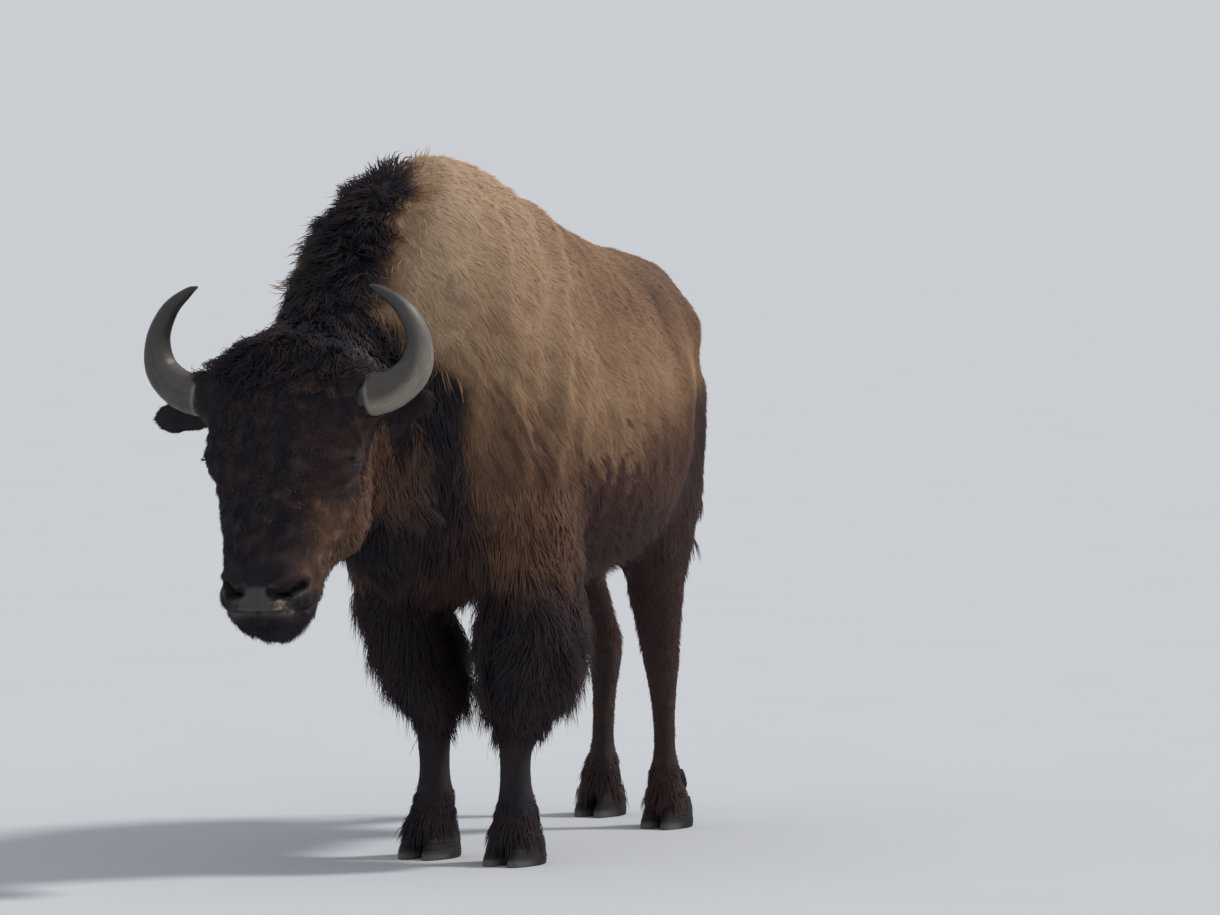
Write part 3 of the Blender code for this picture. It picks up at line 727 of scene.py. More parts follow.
@dataclass(frozen=True)
class SkinFinish(Finish):
    """Hide under the coat, darkened as painted shade under the hair, with short nap, and bare pebbled skin on
    nose, lips and lids.
    """

    name: str = "hide"
    pad: tuple = (0.062, 0.058, 0.061, 1.0)
    pad_gaps: tuple = (0.046, 0.043, 0.047, 1.0)
    speckle: tuple = (0.40, 0.305, 0.215, 1.0)
    lid: tuple = (0.030, 0.027, 0.030, 1.0)
    lid_dark: tuple = (0.014, 0.012, 0.014, 1.0)
    lip: tuple = (0.085, 0.070, 0.066, 1.0)
    # Near black inside the nostrils: painted shade in the openings.
    inner: tuple = (0.006, 0.005, 0.006, 1.0)

    def paint(self, weave: Weaver) -> None:
        """Builds the nodes of the material."""
        streak = weave.noise(150.0, 4.0, (1, 1, 0.3))
        fine = weave.noise(620.0, 3.0, (1, 1, 0.5))
        # Along at 0.30 darkens the hide to about 0.8 of the coat's colour: painted shade under the hair.
        coat = weave.add("Group", {"Lock": streak, "Along": 0.30}, node_tree=MarkingPaint.group())
        for key in ("Shade", "Warm"):
            weave.tree.links.new(weave.read(key.lower()), coat.inputs[key])
        place = weave.add("TexCoord").outputs["Object"]
        cells = weave.add("TexVoronoi", {0: place, "Scale": 330.0}, feature="DISTANCE_TO_EDGE").outputs[0]
        pebble = weave.math("SMOOTH_MIN", weave.math("MULTIPLY", cells, 3.0), 0.6, 0.2)
        spots = weave.noise(46.0, 4.0)
        nose = weave.mix(weave.math("SUBTRACT", pebble, 0.1), self.pad_gaps, self.pad)
        blotches = weave.stops(spots, [(0.46, (0, 0, 0)), (0.60, (1, 1, 1))])
        nose = weave.mix(weave.math("MULTIPLY", weave.read("speckle"), blotches), nose, self.speckle)
        colour = weave.mix(weave.read("pad"), coat.outputs["Color"], nose)
        colour = weave.mix(weave.read("lid"), colour, weave.mix(spots, self.lid_dark, self.lid))
        colour = weave.mix(weave.read("lip"), colour, self.lip)
        # Painted shade: the inside of the nostrils is near black.
        colour = weave.mix(weave.read("inner"), colour, self.inner)
        nap = weave.math("ADD", weave.math("MULTIPLY", streak, 0.6), weave.math("MULTIPLY", fine, 0.4))
        bare = weave.math("MULTIPLY", pebble, 0.45)
        relief = weave.add("Mix", {0: weave.read("pad"), 2: nap, 3: bare}).outputs[0]
        wet = weave.math("MULTIPLY_ADD", weave.read("pad"), -0.36, 0.80)
        wet = weave.math("MULTIPLY_ADD", weave.read("inner"), 0.5, wet)
        weave.surface({
            "Base Color": colour, "Normal": weave.bump(relief, 0.9, 0.0016), "Specular IOR Level": 0.3,
            "Roughness": weave.math("MULTIPLY_ADD", spots, 0.15, weave.math("SUBTRACT", wet, 0.07))})


@dataclass(frozen=True)
class HornFinish(Finish):
    """Horn: olive grey at the base, a dark streak of painted shade where it turns from the key lamp, near
    black at the tip, and painted shade on the base under the hair.
    """

    name: str = "horn_sheath"
    length: tuple = ((0.0, (0.110, 0.088, 0.066)), (0.14, (0.275, 0.235, 0.182)),
                     (0.45, (0.250, 0.220, 0.178)), (0.66, (0.130, 0.112, 0.100)),
                     (0.86, (0.030, 0.025, 0.028)))
    # The streak is painted shade, dark where the horn turns from the key lamp.
    streak: tuple = (0.024, 0.0205, 0.0205, 1.0)
    collar: tuple = (0.22, 0.20, 0.175, 1.0)
    shade_under_hair: tuple = (0.016, 0.013, 0.013, 1.0)

    def paint(self, weave: Weaver) -> None:
        """Builds the nodes of the material."""
        along, around = weave.read("along"), weave.read("around")
        veins = weave.threads((around, along), (5.0, 1.6), 6.0, 6.0)
        fibre = weave.threads((around, along), (26.0, 3.0), 5.0, 4.0)
        shifted = weave.math("MULTIPLY_ADD", weave.math("SUBTRACT", veins, 0.5), 0.32, along)
        colour = weave.mix(weave.read("streak"), weave.stops(shifted, self.length), self.streak)
        rim = weave.stops(along, [(0.19, (0, 0, 0)), (0.208, (0.7, 0.7, 0.7)), (0.222, (0, 0, 0))])
        colour = weave.mix(rim, colour, self.collar)
        # Below the hair line the horn is painted near black: painted shade under the hair.
        below = weave.stops(along, [(0.190, (1, 1, 1)), (0.202, (0, 0, 0))])
        colour = weave.mix(below, colour, self.shade_under_hair)
        lines = weave.stops(fibre, [(0.40, (0.55, 0.55, 0.55)), (0.62, (1.15, 1.12, 1.08))])
        chips = weave.noise(240.0, 5.0)
        relief = weave.math("MULTIPLY_ADD", chips, 0.25, weave.math("MULTIPLY", fibre, 0.75))
        weave.surface({
            "Base Color": weave.mix(0.8, colour, lines, "MULTIPLY"), "Specular IOR Level": 0.5,
            "Roughness": weave.math("MULTIPLY_ADD", fibre, 0.22, 0.34),
            "Normal": weave.bump(relief, 0.55, 0.0012)})


@dataclass(frozen=True)
class HoofFinish(Finish):
    """Hoof wall: grey brown with growth lines, scuffed at the toe."""

    name: str = "hoof_wall"
    rows: tuple = ((0.32, (0.008, 0.007, 0.007)), (0.52, (0.015, 0.013, 0.013)),
                   (0.72, (0.026, 0.023, 0.022)))
    scuff: tuple = (0.20, 0.185, 0.165, 1.0)

    def paint(self, weave: Weaver) -> None:
        """Builds the nodes of the material."""
        rows = weave.noise(55.0, 3.0, (0.25, 0.25, 3.2))
        grain = weave.noise(300.0, 4.0, (1, 1, 0.25))
        scuffed = weave.math("MULTIPLY", weave.read("worn"), grain)
        relief = weave.math("MULTIPLY_ADD", rows, 0.7, weave.math("MULTIPLY", grain, 0.3))
        weave.surface({
            "Base Color": weave.mix(scuffed, weave.stops(rows, self.rows), self.scuff),
            "Roughness": weave.math("MULTIPLY_ADD", grain, 0.3, 0.60),
            "Normal": weave.bump(relief, 0.7, 0.0012), "Specular IOR Level": 0.2})


@dataclass(frozen=True)
class EyeFinish(Finish):
    """Eyeball: wide dark pupil, brown iris with fine spokes, dusky white at the rim."""

    name: str = "eyeball"
    rings: tuple = ((0.0, (0.004, 0.003, 0.003)), (0.26, (0.005, 0.004, 0.004)),
                    (0.30, (0.030, 0.016, 0.009)), (0.52, (0.020, 0.011, 0.007)),
                    (0.58, (0.006, 0.004, 0.004)), (0.66, (0.07, 0.05, 0.045)), (0.90, (0.12, 0.09, 0.08)))

    def paint(self, weave: Weaver) -> None:
        """Builds the nodes of the material."""
        out = weave.read("gaze")
        spokes = weave.threads((weave.read("around"), out), (30.0, 1.0), 3.0, 3.0)
        shifted = weave.math("MULTIPLY_ADD", weave.math("SUBTRACT", spokes, 0.5), 0.05, out)
        weave.surface({
            "Base Color": weave.stops(shifted, self.rings), "Normal": weave.bump(spokes, 0.05, 0.0002),
            "Roughness": weave.math("MULTIPLY_ADD", spokes, 0.05, 0.10),
            "Coat Weight": 0.15, "Coat Roughness": 0.02, "Specular IOR Level": 0.25})


@dataclass(frozen=True)
class FloorFinish(Finish):
    """Plain pale studio floor with a faint mottle."""

    name: str = "studio_floor"
    mottle: tuple = ((0.3, (0.500, 0.517, 0.543)), (0.7, (0.512, 0.529, 0.555)))

    def paint(self, weave: Weaver) -> None:
        """Builds the nodes of the material."""
        colour = weave.stops(weave.noise(1.2, 3.0), self.mottle)
        weave.surface({"Base Color": colour, "Roughness": 1.0, "Specular IOR Level": 0.0})


def show(piece: bpy.types.Object, nodes: list[str]) -> bpy.types.Object:
    """Ties a finished piece to the frame.

    Args:
        piece: The finished object.
        nodes: The solid nodes that it stands for.

    Returns:
        The same object.
    """
    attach(piece, "root")
    if nodes:
        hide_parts(*nodes)
    count = sum(len(face.vertices) - 2 for face in piece.data.polygons)
    LOG.info("%s: %d triangles", piece.name, count)
    return piece


def object_of(mesh: bpy.types.Mesh, name: str, material: bpy.types.Material) -> bpy.types.Object:
    """Links a mesh into the scene as a named object with one material."""
    mesh.materials.clear()
    mesh.materials.append(material)
    made = bpy.data.objects.new(name, mesh)
    bpy.context.scene.collection.objects.link(made)
    return made


def write_values(mesh: bpy.types.Mesh, name: str, values: np.ndarray) -> None:
    """Stores one number for each vertex under a name."""
    layer = mesh.attributes.get(name) or mesh.attributes.new(name, "FLOAT", "POINT")
    layer.data.foreach_set("value", np.ascontiguousarray(values, dtype=np.float32))


def write_tones(mesh: bpy.types.Mesh, places: np.ndarray) -> None:
    """Stores lightness and rust on a mesh, read at the given places."""
    shade, warm = COLOURING.tones(places)
    write_values(mesh, "shade", shade)
    write_values(mesh, "warm", warm)


def places_of(mesh: bpy.types.Mesh) -> np.ndarray:
    """Vertex positions as rows."""
    flat = np.empty(len(mesh.vertices) * 3, dtype=np.float32)
    mesh.vertices.foreach_get("co", flat)
    return flat.reshape(-1, 3).astype(float)


def set_places(mesh: bpy.types.Mesh, places: np.ndarray) -> None:
    """Moves the vertices of a mesh."""
    mesh.vertices.foreach_set("co", np.ascontiguousarray(places, dtype=np.float32).ravel())
    mesh.update()


def normals_of(mesh: bpy.types.Mesh) -> np.ndarray:
    """Vertex normals as rows."""
    flat = np.empty(len(mesh.vertices) * 3, dtype=np.float32)
    mesh.vertex_normals.foreach_get("vector", flat)
    return flat.reshape(-1, 3).astype(float)


def edges_of(mesh: bpy.types.Mesh) -> np.ndarray:
    """Vertex pairs of the edges."""
    flat = np.empty(len(mesh.edges) * 2, dtype=np.int32)
    mesh.edges.foreach_get("vertices", flat)
    return flat.reshape(-1, 2)


def averaged(values: np.ndarray, edges: np.ndarray, share: np.ndarray | float, rounds: int) -> np.ndarray:
    """Values eased towards the mean of their neighbours.

    Args:
        values: One row for each vertex.
        edges: Vertex pairs.
        share: How far each value moves in a round.
        rounds: Number of rounds.

    Returns:
        The eased values.
    """
    values = np.array(values, dtype=float)
    flat = values.reshape(len(values), -1)
    ends = np.concatenate([edges[:, 0], edges[:, 1]])
    others = np.concatenate([edges[:, 1], edges[:, 0]])
    count = np.maximum(np.bincount(ends, minlength=len(flat)), 1)
    share = np.asarray(share, dtype=float)
    for _ in range(rounds):
        for column in range(flat.shape[1]):
            total = np.bincount(ends, weights=flat[others, column], minlength=len(flat))
            flat[:, column] += share * (total / count - flat[:, column])
    return flat.reshape(values.shape)


def loft(bm: bmesh.types.BMesh, rings: list[np.ndarray]) -> list:
    """Stretches a closed tube over rings of equal count, with both ends closed.

    Args:
        bm: The bmesh to build in.
        rings: Points of each ring, in order round it.

    Returns:
        The vertices of each ring.
    """
    base = bmesh.ops.create_circle(bm, segments=len(rings[0]), radius=1.0, cap_ends=True)["verts"]
    rows = [base]
    edges = [edge for edge in base[0].link_faces[0].edges]
    for _ in rings[1:]:
        grown = bmesh.ops.extrude_edge_only(bm, edges=edges)["geom"]
        edges = [item for item in grown if isinstance(item, bmesh.types.BMEdge)
                 and all(v in set(grown) for v in item.verts)]
        partner = {}
        for vert in rows[-1]:
            for edge in vert.link_edges:
                other = edge.other_vert(vert)
                if other in grown and other not in rows[-1]:
                    partner[vert] = other
        rows.append([partner[vert] for vert in rows[-1]])
        ring_set = set(rows[-1])
        edges = [edge for edge in edges if edge.verts[0] in ring_set and edge.verts[1] in ring_set]
    bmesh.ops.contextual_create(bm, geom=edges)
    for row, ring in zip(rows, rings):
        for vert, place in zip(row, ring):
            vert.co = Vector(place)
    bmesh.ops.recalc_face_normals(bm, faces=bm.faces)
    return rows


def mesh_of(bm: bmesh.types.BMesh, name: str) -> bpy.types.Mesh:
    """Writes a bmesh out as a smooth mesh."""
    mesh = bpy.data.meshes.new(name)
    bm.to_mesh(mesh)
    bm.free()
    mesh.shade_smooth()
    return mesh


@dataclass(frozen=True)
class Stroke:
    """A groove or ridge drawn on the head: points across, down and out, mirrored."""

    points: tuple
    reach: float
    height: float
    mirrored: bool = True


@dataclass
class Skin:
    """One hide over the flesh nodes, with muzzle, folds and lids.

    muzzle_down, muzzle_out and eye_reach say where faces are split: the bound of the finest
    pass, and how far it moves at the widest.
    """

    grain: float = 0.0099
    swell: float = 0.0004
    flesh: tuple = ("head", "neck", "trunk", "foreleg_left", "foreleg_right", "hindleg_left",
                    "hindleg_right", "tail", "ear_left", "ear_right")
    horn_plug: float = 0.046
    dewclaw_plug: float = 0.014
    dewclaw_shift: tuple = (0.0, -0.018, 0.006)
    eye_play: float = 0.001
    fold_gap: float = 0.12
    fold_height: float = 0.0012
    roll_height: float = 0.0020
    muzzle_down: tuple = (0.575, -0.06)
    muzzle_out: tuple = (-0.04, -0.05)
    eye_reach: tuple = (0.034, 0.021)
    strokes: tuple = (
        Stroke(((0.039, 0.587, 0.02), (0.050, 0.585, 0.015), (0.062, 0.579, 0.0)), 0.0075, -0.020),
        Stroke(((0.056, 0.580, 0.01), (0.074, 0.567, -0.005), (0.083, 0.554, -0.02)), 0.0100, -0.030),
        Stroke(((0.026, 0.577, 0.02), (0.048, 0.566, 0.015), (0.070, 0.546, 0.0), (0.090, 0.540, -0.02)),
               0.011, 0.0055),
        Stroke(((0.088, 0.545, -0.02), (0.097, 0.562, -0.03), (0.094, 0.582, -0.03)), 0.012, 0.0045),
        Stroke(((0.028, 0.608, 0.015), (0.055, 0.606, 0.005), (0.080, 0.596, -0.015)), 0.009, 0.0045),
        Stroke(((0.0, 0.580, 0.02), (0.0, 0.600, 0.015), (0.0, 0.616, 0.0)), 0.0035, -0.0022, False),
        Stroke(((0.0, 0.625, 0.0), (0.035, 0.623, 0.0), (0.062, 0.613, -0.01), (0.085, 0.596, -0.05),
                (0.092, 0.570, -0.085)), 0.0040, -0.0080),
        Stroke(((0.0, 0.616, 0.01), (0.040, 0.614, 0.0), (0.066, 0.604, -0.015)), 0.005, 0.0022),
        Stroke(((0.0, 0.634, -0.01), (0.035, 0.632, -0.01), (0.062, 0.622, -0.03)), 0.006, 0.0022),
        Stroke(((0.098, 0.500, -0.04), (0.102, 0.540, -0.045), (0.098, 0.575, -0.05)), 0.007, -0.0030),
        Stroke(((0.116, 0.250, -0.010), (0.134, 0.236, -0.020), (0.154, 0.243, -0.045)), 0.011, 0.0050),
        Stroke(((0.112, 0.334, -0.008), (0.130, 0.340, -0.030), (0.150, 0.332, -0.060)), 0.005, -0.0022),
        Stroke(((0.108, 0.350, -0.008), (0.126, 0.358, -0.030), (0.146, 0.352, -0.060)), 0.006, 0.0018),
        Stroke(((0.085, 0.36, 0.0), (0.082, 0.42, 0.0), (0.075, 0.48, 0.0)), 0.014, -0.0040),
    )

    def build(self) -> bpy.types.Object:
        """Makes the hide, ties it to the frame and hides the flesh nodes that it stands for."""
        mesh = self.fused()
        self.settle(mesh)
        mesh = self.refined(mesh)
        self.carve(mesh)
        mesh = self.with_lids(mesh)
        piece = object_of(mesh, "hide", SkinFinish().material())
        self.unwrap(piece)
        self.mark(piece.data)
        piece.data.shade_smooth()
        return show(piece, list(self.flesh))

    def fused(self) -> bpy.types.Mesh:
        """All flesh as one closed surface, with the sockets filled."""
        whole = bmesh.new()
        for name in self.flesh:
            part = bmesh.new()
            part.from_mesh(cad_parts[name].data)
            bmesh.ops.remove_doubles(part, verts=part.verts, dist=1e-5)
            part.normal_update()
            shifts = [(vert, vert.normal * self.swell) for vert in part.verts]
            for vert, shift in shifts:
                vert.co += shift
            copy = bpy.data.meshes.new(name + "_flesh")
            part.to_mesh(copy)
            part.free()
            whole.from_mesh(copy)
            bpy.data.meshes.remove(copy)
        for side in SIDES:
            low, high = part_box(f"eye_{side}")
            self.plug(whole, (low + high) / 2.0, (high.x - low.x) / 2.0 + self.eye_play)
            self.plug(whole, Horn(side).root(), self.horn_plug)
            for leg, claw in product(LEGS, CLAWS):
                spot = middle_of(f"dewclaw_{leg}_{side}_{claw}") + Vector(self.dewclaw_shift)
                self.plug(whole, spot, self.dewclaw_plug)
        mesh = mesh_of(whole, "flesh")
        worker = bpy.data.objects.new("flesh", mesh)
        bpy.context.scene.collection.objects.link(worker)
        remesh = worker.modifiers.new("one_surface", "REMESH")
        remesh.mode = "VOXEL"
        remesh.voxel_size = self.grain
        remesh.use_smooth_shade = True
        graph = bpy.context.evaluated_depsgraph_get()
        made = bpy.data.meshes.new_from_object(worker.evaluated_get(graph))
        bpy.data.objects.remove(worker)
        bpy.data.meshes.remove(mesh)
        return made

    @staticmethod
    def plug(bm: bmesh.types.BMesh, centre: Vector, radius: float) -> None:
        """Fills a socket with a ball."""
        bmesh.ops.create_uvsphere(bm, u_segments=24, v_segments=16, radius=radius,
                                  matrix=Matrix.Translation(centre))

    def settle(self, mesh: bpy.types.Mesh) -> None:
        """Softens the hide and draws it in by the coat's depth."""
        places, edges = places_of(mesh), edges_of(mesh)
        head = HEAD.read(places)
        fine = np.maximum(MARKS.in_ears(head, places), (head[:, 1] > 0.45) & (places[:, 1] < MARKS.head_back))
        keep = averaged(np.maximum(fine, places[:, 2] < 0.16).astype(float), edges, 0.5, 6)
        places = averaged(places, edges, 0.5 * (1.0 - 0.85 * keep), 12)
        set_places(mesh, places)
        normals = normals_of(mesh)
        depth = np.array([GROWTH[zone].depth for zone in ZONES])[zones_at(places, normals)]
        for side in SIDES:
            depth = depth * (0.15 + 0.85 * ramp(away_from(places, middle_of(f"eye_{side}")), 0.03, 0.07))
            depth = depth * (0.25 + 0.75 * ramp(away_from(places, Horn(side).collar()), 0.06, 0.10))
        depth = averaged(depth, edges, 0.6, 16)
        set_places(mesh, places - normals * (depth - self.rolls(places))[:, None])

    def rolls(self, places: np.ndarray) -> np.ndarray:
        """How far folds and ridges lift the hide on cape, shoulder and rump."""
        soft = ripple(places, 0.11, 5)
        cape = ramp(places[:, 1] - MARKS.cape_edge(places), 0.02, 0.10) * ramp(places[:, 2], 0.7, 0.9)
        lean = places[:, 1] * 0.92 - places[:, 2] * 0.22 + 0.018 * soft
        folds = np.sin(lean * TURN / self.fold_gap + 1.6 * soft) * (1.0 - ramp(places[:, 1], 0.0, 0.40))
        ridges = sum(ridge.swell(places) for ridge in RIDGES)
        return (folds * self.fold_height + self.roll_height * soft + ridges) * cape

    def refined(self, mesh: bpy.types.Mesh) -> bpy.types.Mesh:
        """Splits the faces of muzzle and eyes until folds can be drawn in them."""
        bm = bmesh.new()
        bm.from_mesh(mesh)
        axes, crown = HEAD.axes().transposed(), HEAD.crown()
        eyes = [middle_of(f"eye_{side}") for side in SIDES]
        for wider in (1.0, 0.45, 0.0):
            down, out, reach = (start + more * wider for start, more in (
                self.muzzle_down, self.muzzle_out, self.eye_reach))
            chosen = []
            for edge in bm.edges:
                spot = (edge.verts[0].co + edge.verts[1].co) / 2.0
                place = axes @ (spot - crown)
                muzzle = wider > 0.0 and place.y > down and place.z > out
                eye = min((spot - centre).length for centre in eyes) < reach
                if spot.y < MARKS.head_back and (muzzle or eye):
                    chosen.append(edge)
            bmesh.ops.subdivide_edges(bm, edges=chosen, cuts=1, use_grid_fill=True)
        bmesh.ops.triangulate(bm, faces=bm.faces)
        bm.to_mesh(mesh)
        bm.free()
        return mesh

    def carve(self, mesh: bpy.types.Mesh) -> None:
        """Draws nostrils, lips and folds into the head."""
        places, edges = places_of(mesh), edges_of(mesh)
        near = (HEAD.read(places)[:, 1] > 0.2) & (places[:, 1] < MARKS.head_back)
        eased = averaged(places, edges, 0.5 * near, 3)
        places = np.where(near[:, None], eased, places)
        set_places(mesh, places)
        normals, head = normals_of(mesh), HEAD.read(places)
        shift = np.zeros(len(places))
        for stroke in self.strokes:
            for side in ((1.0, -1.0) if stroke.mirrored else (1.0,)):
                path = [nearest(head, (across * side, down, out)) for across, down, out in stroke.points]
                shift += stroke.height * bell(away_from_line(head, path), 0.0, stroke.reach)
        for side in SIDES:
            places = Eye(side).wrap(places)
        set_places(mesh, places + normals * shift[:, None])

    def with_lids(self, mesh: bpy.types.Mesh) -> bpy.types.Mesh:
        """Adds the lids of both eyes to the hide."""
        bm = bmesh.new()
        bm.from_mesh(mesh)
        for side in SIDES:
            lids = Eye(side).lids()
            bm.from_mesh(lids)
            bpy.data.meshes.remove(lids)
        bmesh.ops.triangulate(bm, faces=bm.faces)
        bpy.data.meshes.remove(mesh)
        return mesh_of(bm, "hide")

    @staticmethod
    def unwrap(piece: bpy.types.Object) -> None:
        """Lays the hide out flat in the map that the coat shares."""
        piece.data.uv_layers.new(name=BAKE_MAP)
        bpy.context.view_layer.objects.active = piece
        bpy.ops.object.select_all(action="DESELECT")
        piece.select_set(True)
        bpy.ops.object.mode_set(mode="EDIT")
        bpy.ops.mesh.select_all(action="SELECT")
        bpy.ops.uv.smart_project(angle_limit=math.radians(62), island_margin=0.0005)
        bpy.ops.object.mode_set(mode="OBJECT")

    def mark(self, mesh: bpy.types.Mesh) -> None:
        """Stores the markings and the bare places on the hide."""
        places = places_of(mesh)
        head = HEAD.read(places)
        side, down, out = np.abs(head[:, 0]), head[:, 1], head[:, 2]
        front = 1.0 - ramp(places[:, 1], MARKS.head_back - 0.08, MARKS.head_back - 0.04)
        write_tones(mesh, places)
        front = front * ramp(out, -0.07, -0.045)
        wide = 0.030 + 0.36 * np.abs(down - MARKS.nose_down)
        pad = (1.0 - ramp(side, wide, wide + 0.008)) * between(down, 0.572, 0.617, 0.006)
        folded = np.column_stack([side, down, out])
        nostril = away_from_line(folded, [nearest(folded, spot) for spot in MARKS.nostril])
        bare = np.maximum(pad, 1.0 - ramp(nostril, 0.012, 0.022))
        bare = np.maximum(bare, between(down, 0.598, 0.624, 0.006) * (1.0 - ramp(side, 0.06, 0.09)))
        write_values(mesh, "pad", np.maximum(pad, 0.55 * bare) * front)
        # The inner mask marks where painted shade darkens the inside of the nostrils.
        write_values(mesh, "inner", (1.0 - ramp(nostril, 0.007, 0.014)) * front)
        speckle = between(head[:, 0], 0.034, 0.074, 0.008) * between(down, 0.584, 0.616, 0.006)
        write_values(mesh, "speckle", speckle * front)
        lip = between(down, 0.614, 0.621, 0.003) * (1.0 - ramp(side, 0.04, 0.075))
        write_values(mesh, "lip", lip * 0.6 * front)
        lid = np.zeros(len(places))
        for name in SIDES:
            lid = np.maximum(lid, 1.0 - ramp(away_from(places, middle_of(f"eye_{name}")), 0.0265, 0.034))
        write_values(mesh, "lid", lid)


@dataclass
class Eye:
    """One eyeball with its lids, and the socket that the hide closes round it.

    Folds and creases are (degrees past the lids' edge, width in degrees, depth).
    """

    side: str
    radius: float = 0.022
    seat: float = 0.0200
    half_width: float = 36.0
    half_height: float = 8.0
    lid_rise: float = 0.0022
    tilt: float = -16.0
    look: tuple = (0.83, 0.10, 0.55)
    clear_bulge: float = 0.035
    upper_fold: tuple = (15.0, 3.5, 0.0010)
    lower_fold: tuple = (11.0, 3.5, 0.0010)
    outer_fold: tuple = (27.0, 4.0, 0.0007)
    plump: tuple = (5.0, 4.0, 0.0012)
    upper_crease: tuple = (17.0, 4.0, 0.0016)
    lower_crease: tuple = (14.0, 4.0, 0.0016)
    outer_crease: tuple = (30.0, 5.0, 0.0011)
    mound: float = 0.042
    brow_ring: tuple = (0.026, 0.036)
    near: float = 0.06
    cushion: tuple = (0.0022, 0.0040)
    skin_gap: float = -0.0004
    wrap_reach: float = 0.055
    wrap_angle: float = 125.0
    sunk: float = 0.0185

    def centre(self) -> Vector:
        """Centre of the eyeball."""
        return middle_of(f"eye_{self.side}")

    def gaze(self) -> Vector:
        """Direction that the eye looks in."""
        across, down, out = self.look
        return (HEAD.axes() @ Vector((across * SIDES[self.side], down, out))).normalized()

    def frame(self) -> Matrix:
        """Axes of the eye: along the slit, across it, and along the gaze."""
        gaze = self.gaze()
        along = Vector((0, 0, 1)).cross(gaze).normalized()
        turn = Matrix.Rotation(math.radians(self.tilt) * SIDES[self.side], 3, gaze)
        return turn @ Matrix((along, gaze.cross(along), gaze)).transposed()

    def set_in(self, local: np.ndarray) -> np.ndarray:
        """Points of the eye's own frame in the row frame."""
        return local @ np.array(self.frame()).T + np.array(self.centre())

    def build(self) -> bpy.types.Object:
        """Makes the eyeball with its clear bulge."""
        bm = bmesh.new()
        bmesh.ops.create_uvsphere(bm, u_segments=64, v_segments=40, radius=self.radius)
        mesh = mesh_of(bm, f"eyeball_{self.side}")
        local = places_of(mesh)
        polar = np.arccos(np.clip(unit(local)[:, 2], -1, 1))
        around = np.arctan2(local[:, 1], local[:, 0]) / TURN + 0.5
        write_values(mesh, "gaze", polar / (math.pi / 2) / 1.15)
        write_values(mesh, "around", np.abs(around - 0.5) * 2.0)
        bulge = 1.0 + self.clear_bulge * bell(polar, 0.0, 0.45)
        set_places(mesh, self.set_in(local * bulge[:, None]))
        piece = object_of(mesh, mesh.name, EyeFinish().material())
        return show(piece, [f"eye_{self.side}"])

    def opening(self, around: np.ndarray) -> np.ndarray:
        """Half angle of the slit in each direction round the gaze."""
        wide = np.abs(np.cos(around)) / math.radians(self.half_width)
        tall = np.abs(np.sin(around)) / math.radians(self.half_height)
        tall = tall * np.where(np.sin(around) > 0, 1.25, 0.85)
        return 1.0 / (wide ** 1.5 + tall ** 1.5) ** (1.0 / 1.5)

    @staticmethod
    def pressed(past: np.ndarray, upper: np.ndarray, folds: tuple) -> np.ndarray:
        """Depth of the folds round the slit.

        Args:
            past: Degrees past the lids' edge.
            upper: True above the slit.
            folds: The fold of the upper lid, that of the lower lid and one round both.

        Returns:
            The depth at each point.
        """
        above, below, outer = folds
        depth = above[2] * bell(past, np.where(upper, above[0], below[0]), above[1])
        return depth + outer[2] * bell(past, outer[0], outer[1])

    def wrap(self, places: np.ndarray) -> np.ndarray:
        """Raises the hide round the eye, wraps it over the ball and sinks it behind the slit."""
        centre, gaze = np.array(self.centre()), np.array(self.gaze())
        offset = places - centre
        reach, height = np.linalg.norm(offset, axis=1), offset @ gaze
        aside = np.sqrt(np.maximum(reach ** 2 - height ** 2, 0.0))
        low, high = self.brow_ring
        ring = (aside > low) & (aside < high) & (height > 0.0) & (reach < self.near)
        lift = max(0.0, self.seat - float(height[ring].mean())) if ring.any() else 0.0
        LOG.info("%s eye is raised on %.4f", self.side, lift)
        mound = lift * bell(aside, 0.0, self.mound) * (height > -0.02) * (reach < 2.0 * self.near)
        offset = places + gaze * mound[:, None] - centre
        reach = np.linalg.norm(offset, axis=1)
        angle = np.degrees(np.arccos(np.clip((offset @ gaze) / np.maximum(reach, 1e-6), -1, 1)))
        flat = offset @ np.array(self.frame())
        past = angle - np.degrees(self.opening(np.arctan2(flat[:, 1], flat[:, 0])))
        rim = self.radius + self.lid_rise + self.skin_gap
        cushion = self.cushion[0] + self.cushion[1] * ramp(angle, 25.0, 75.0)
        over = np.maximum(reach - rim, 0.0) ** 2 + cushion ** 2 * (1.0 - ramp(reach, 0.03, self.wrap_reach))
        wrapped = rim + np.where(reach > rim, np.sqrt(over), cushion)
        creases = (self.upper_crease, self.lower_crease, self.outer_crease)
        wrapped = wrapped - self.pressed(past, flat[:, 1] > 0, creases)
        wrapped = np.where((reach < self.wrap_reach) & (angle < self.wrap_angle), wrapped, reach)
        behind = (1.0 - ramp(past, 4.0, 9.0)) * (reach < self.near)
        wrapped = wrapped + (self.sunk - wrapped) * behind
        return centre + unit(offset) * wrapped[:, None]

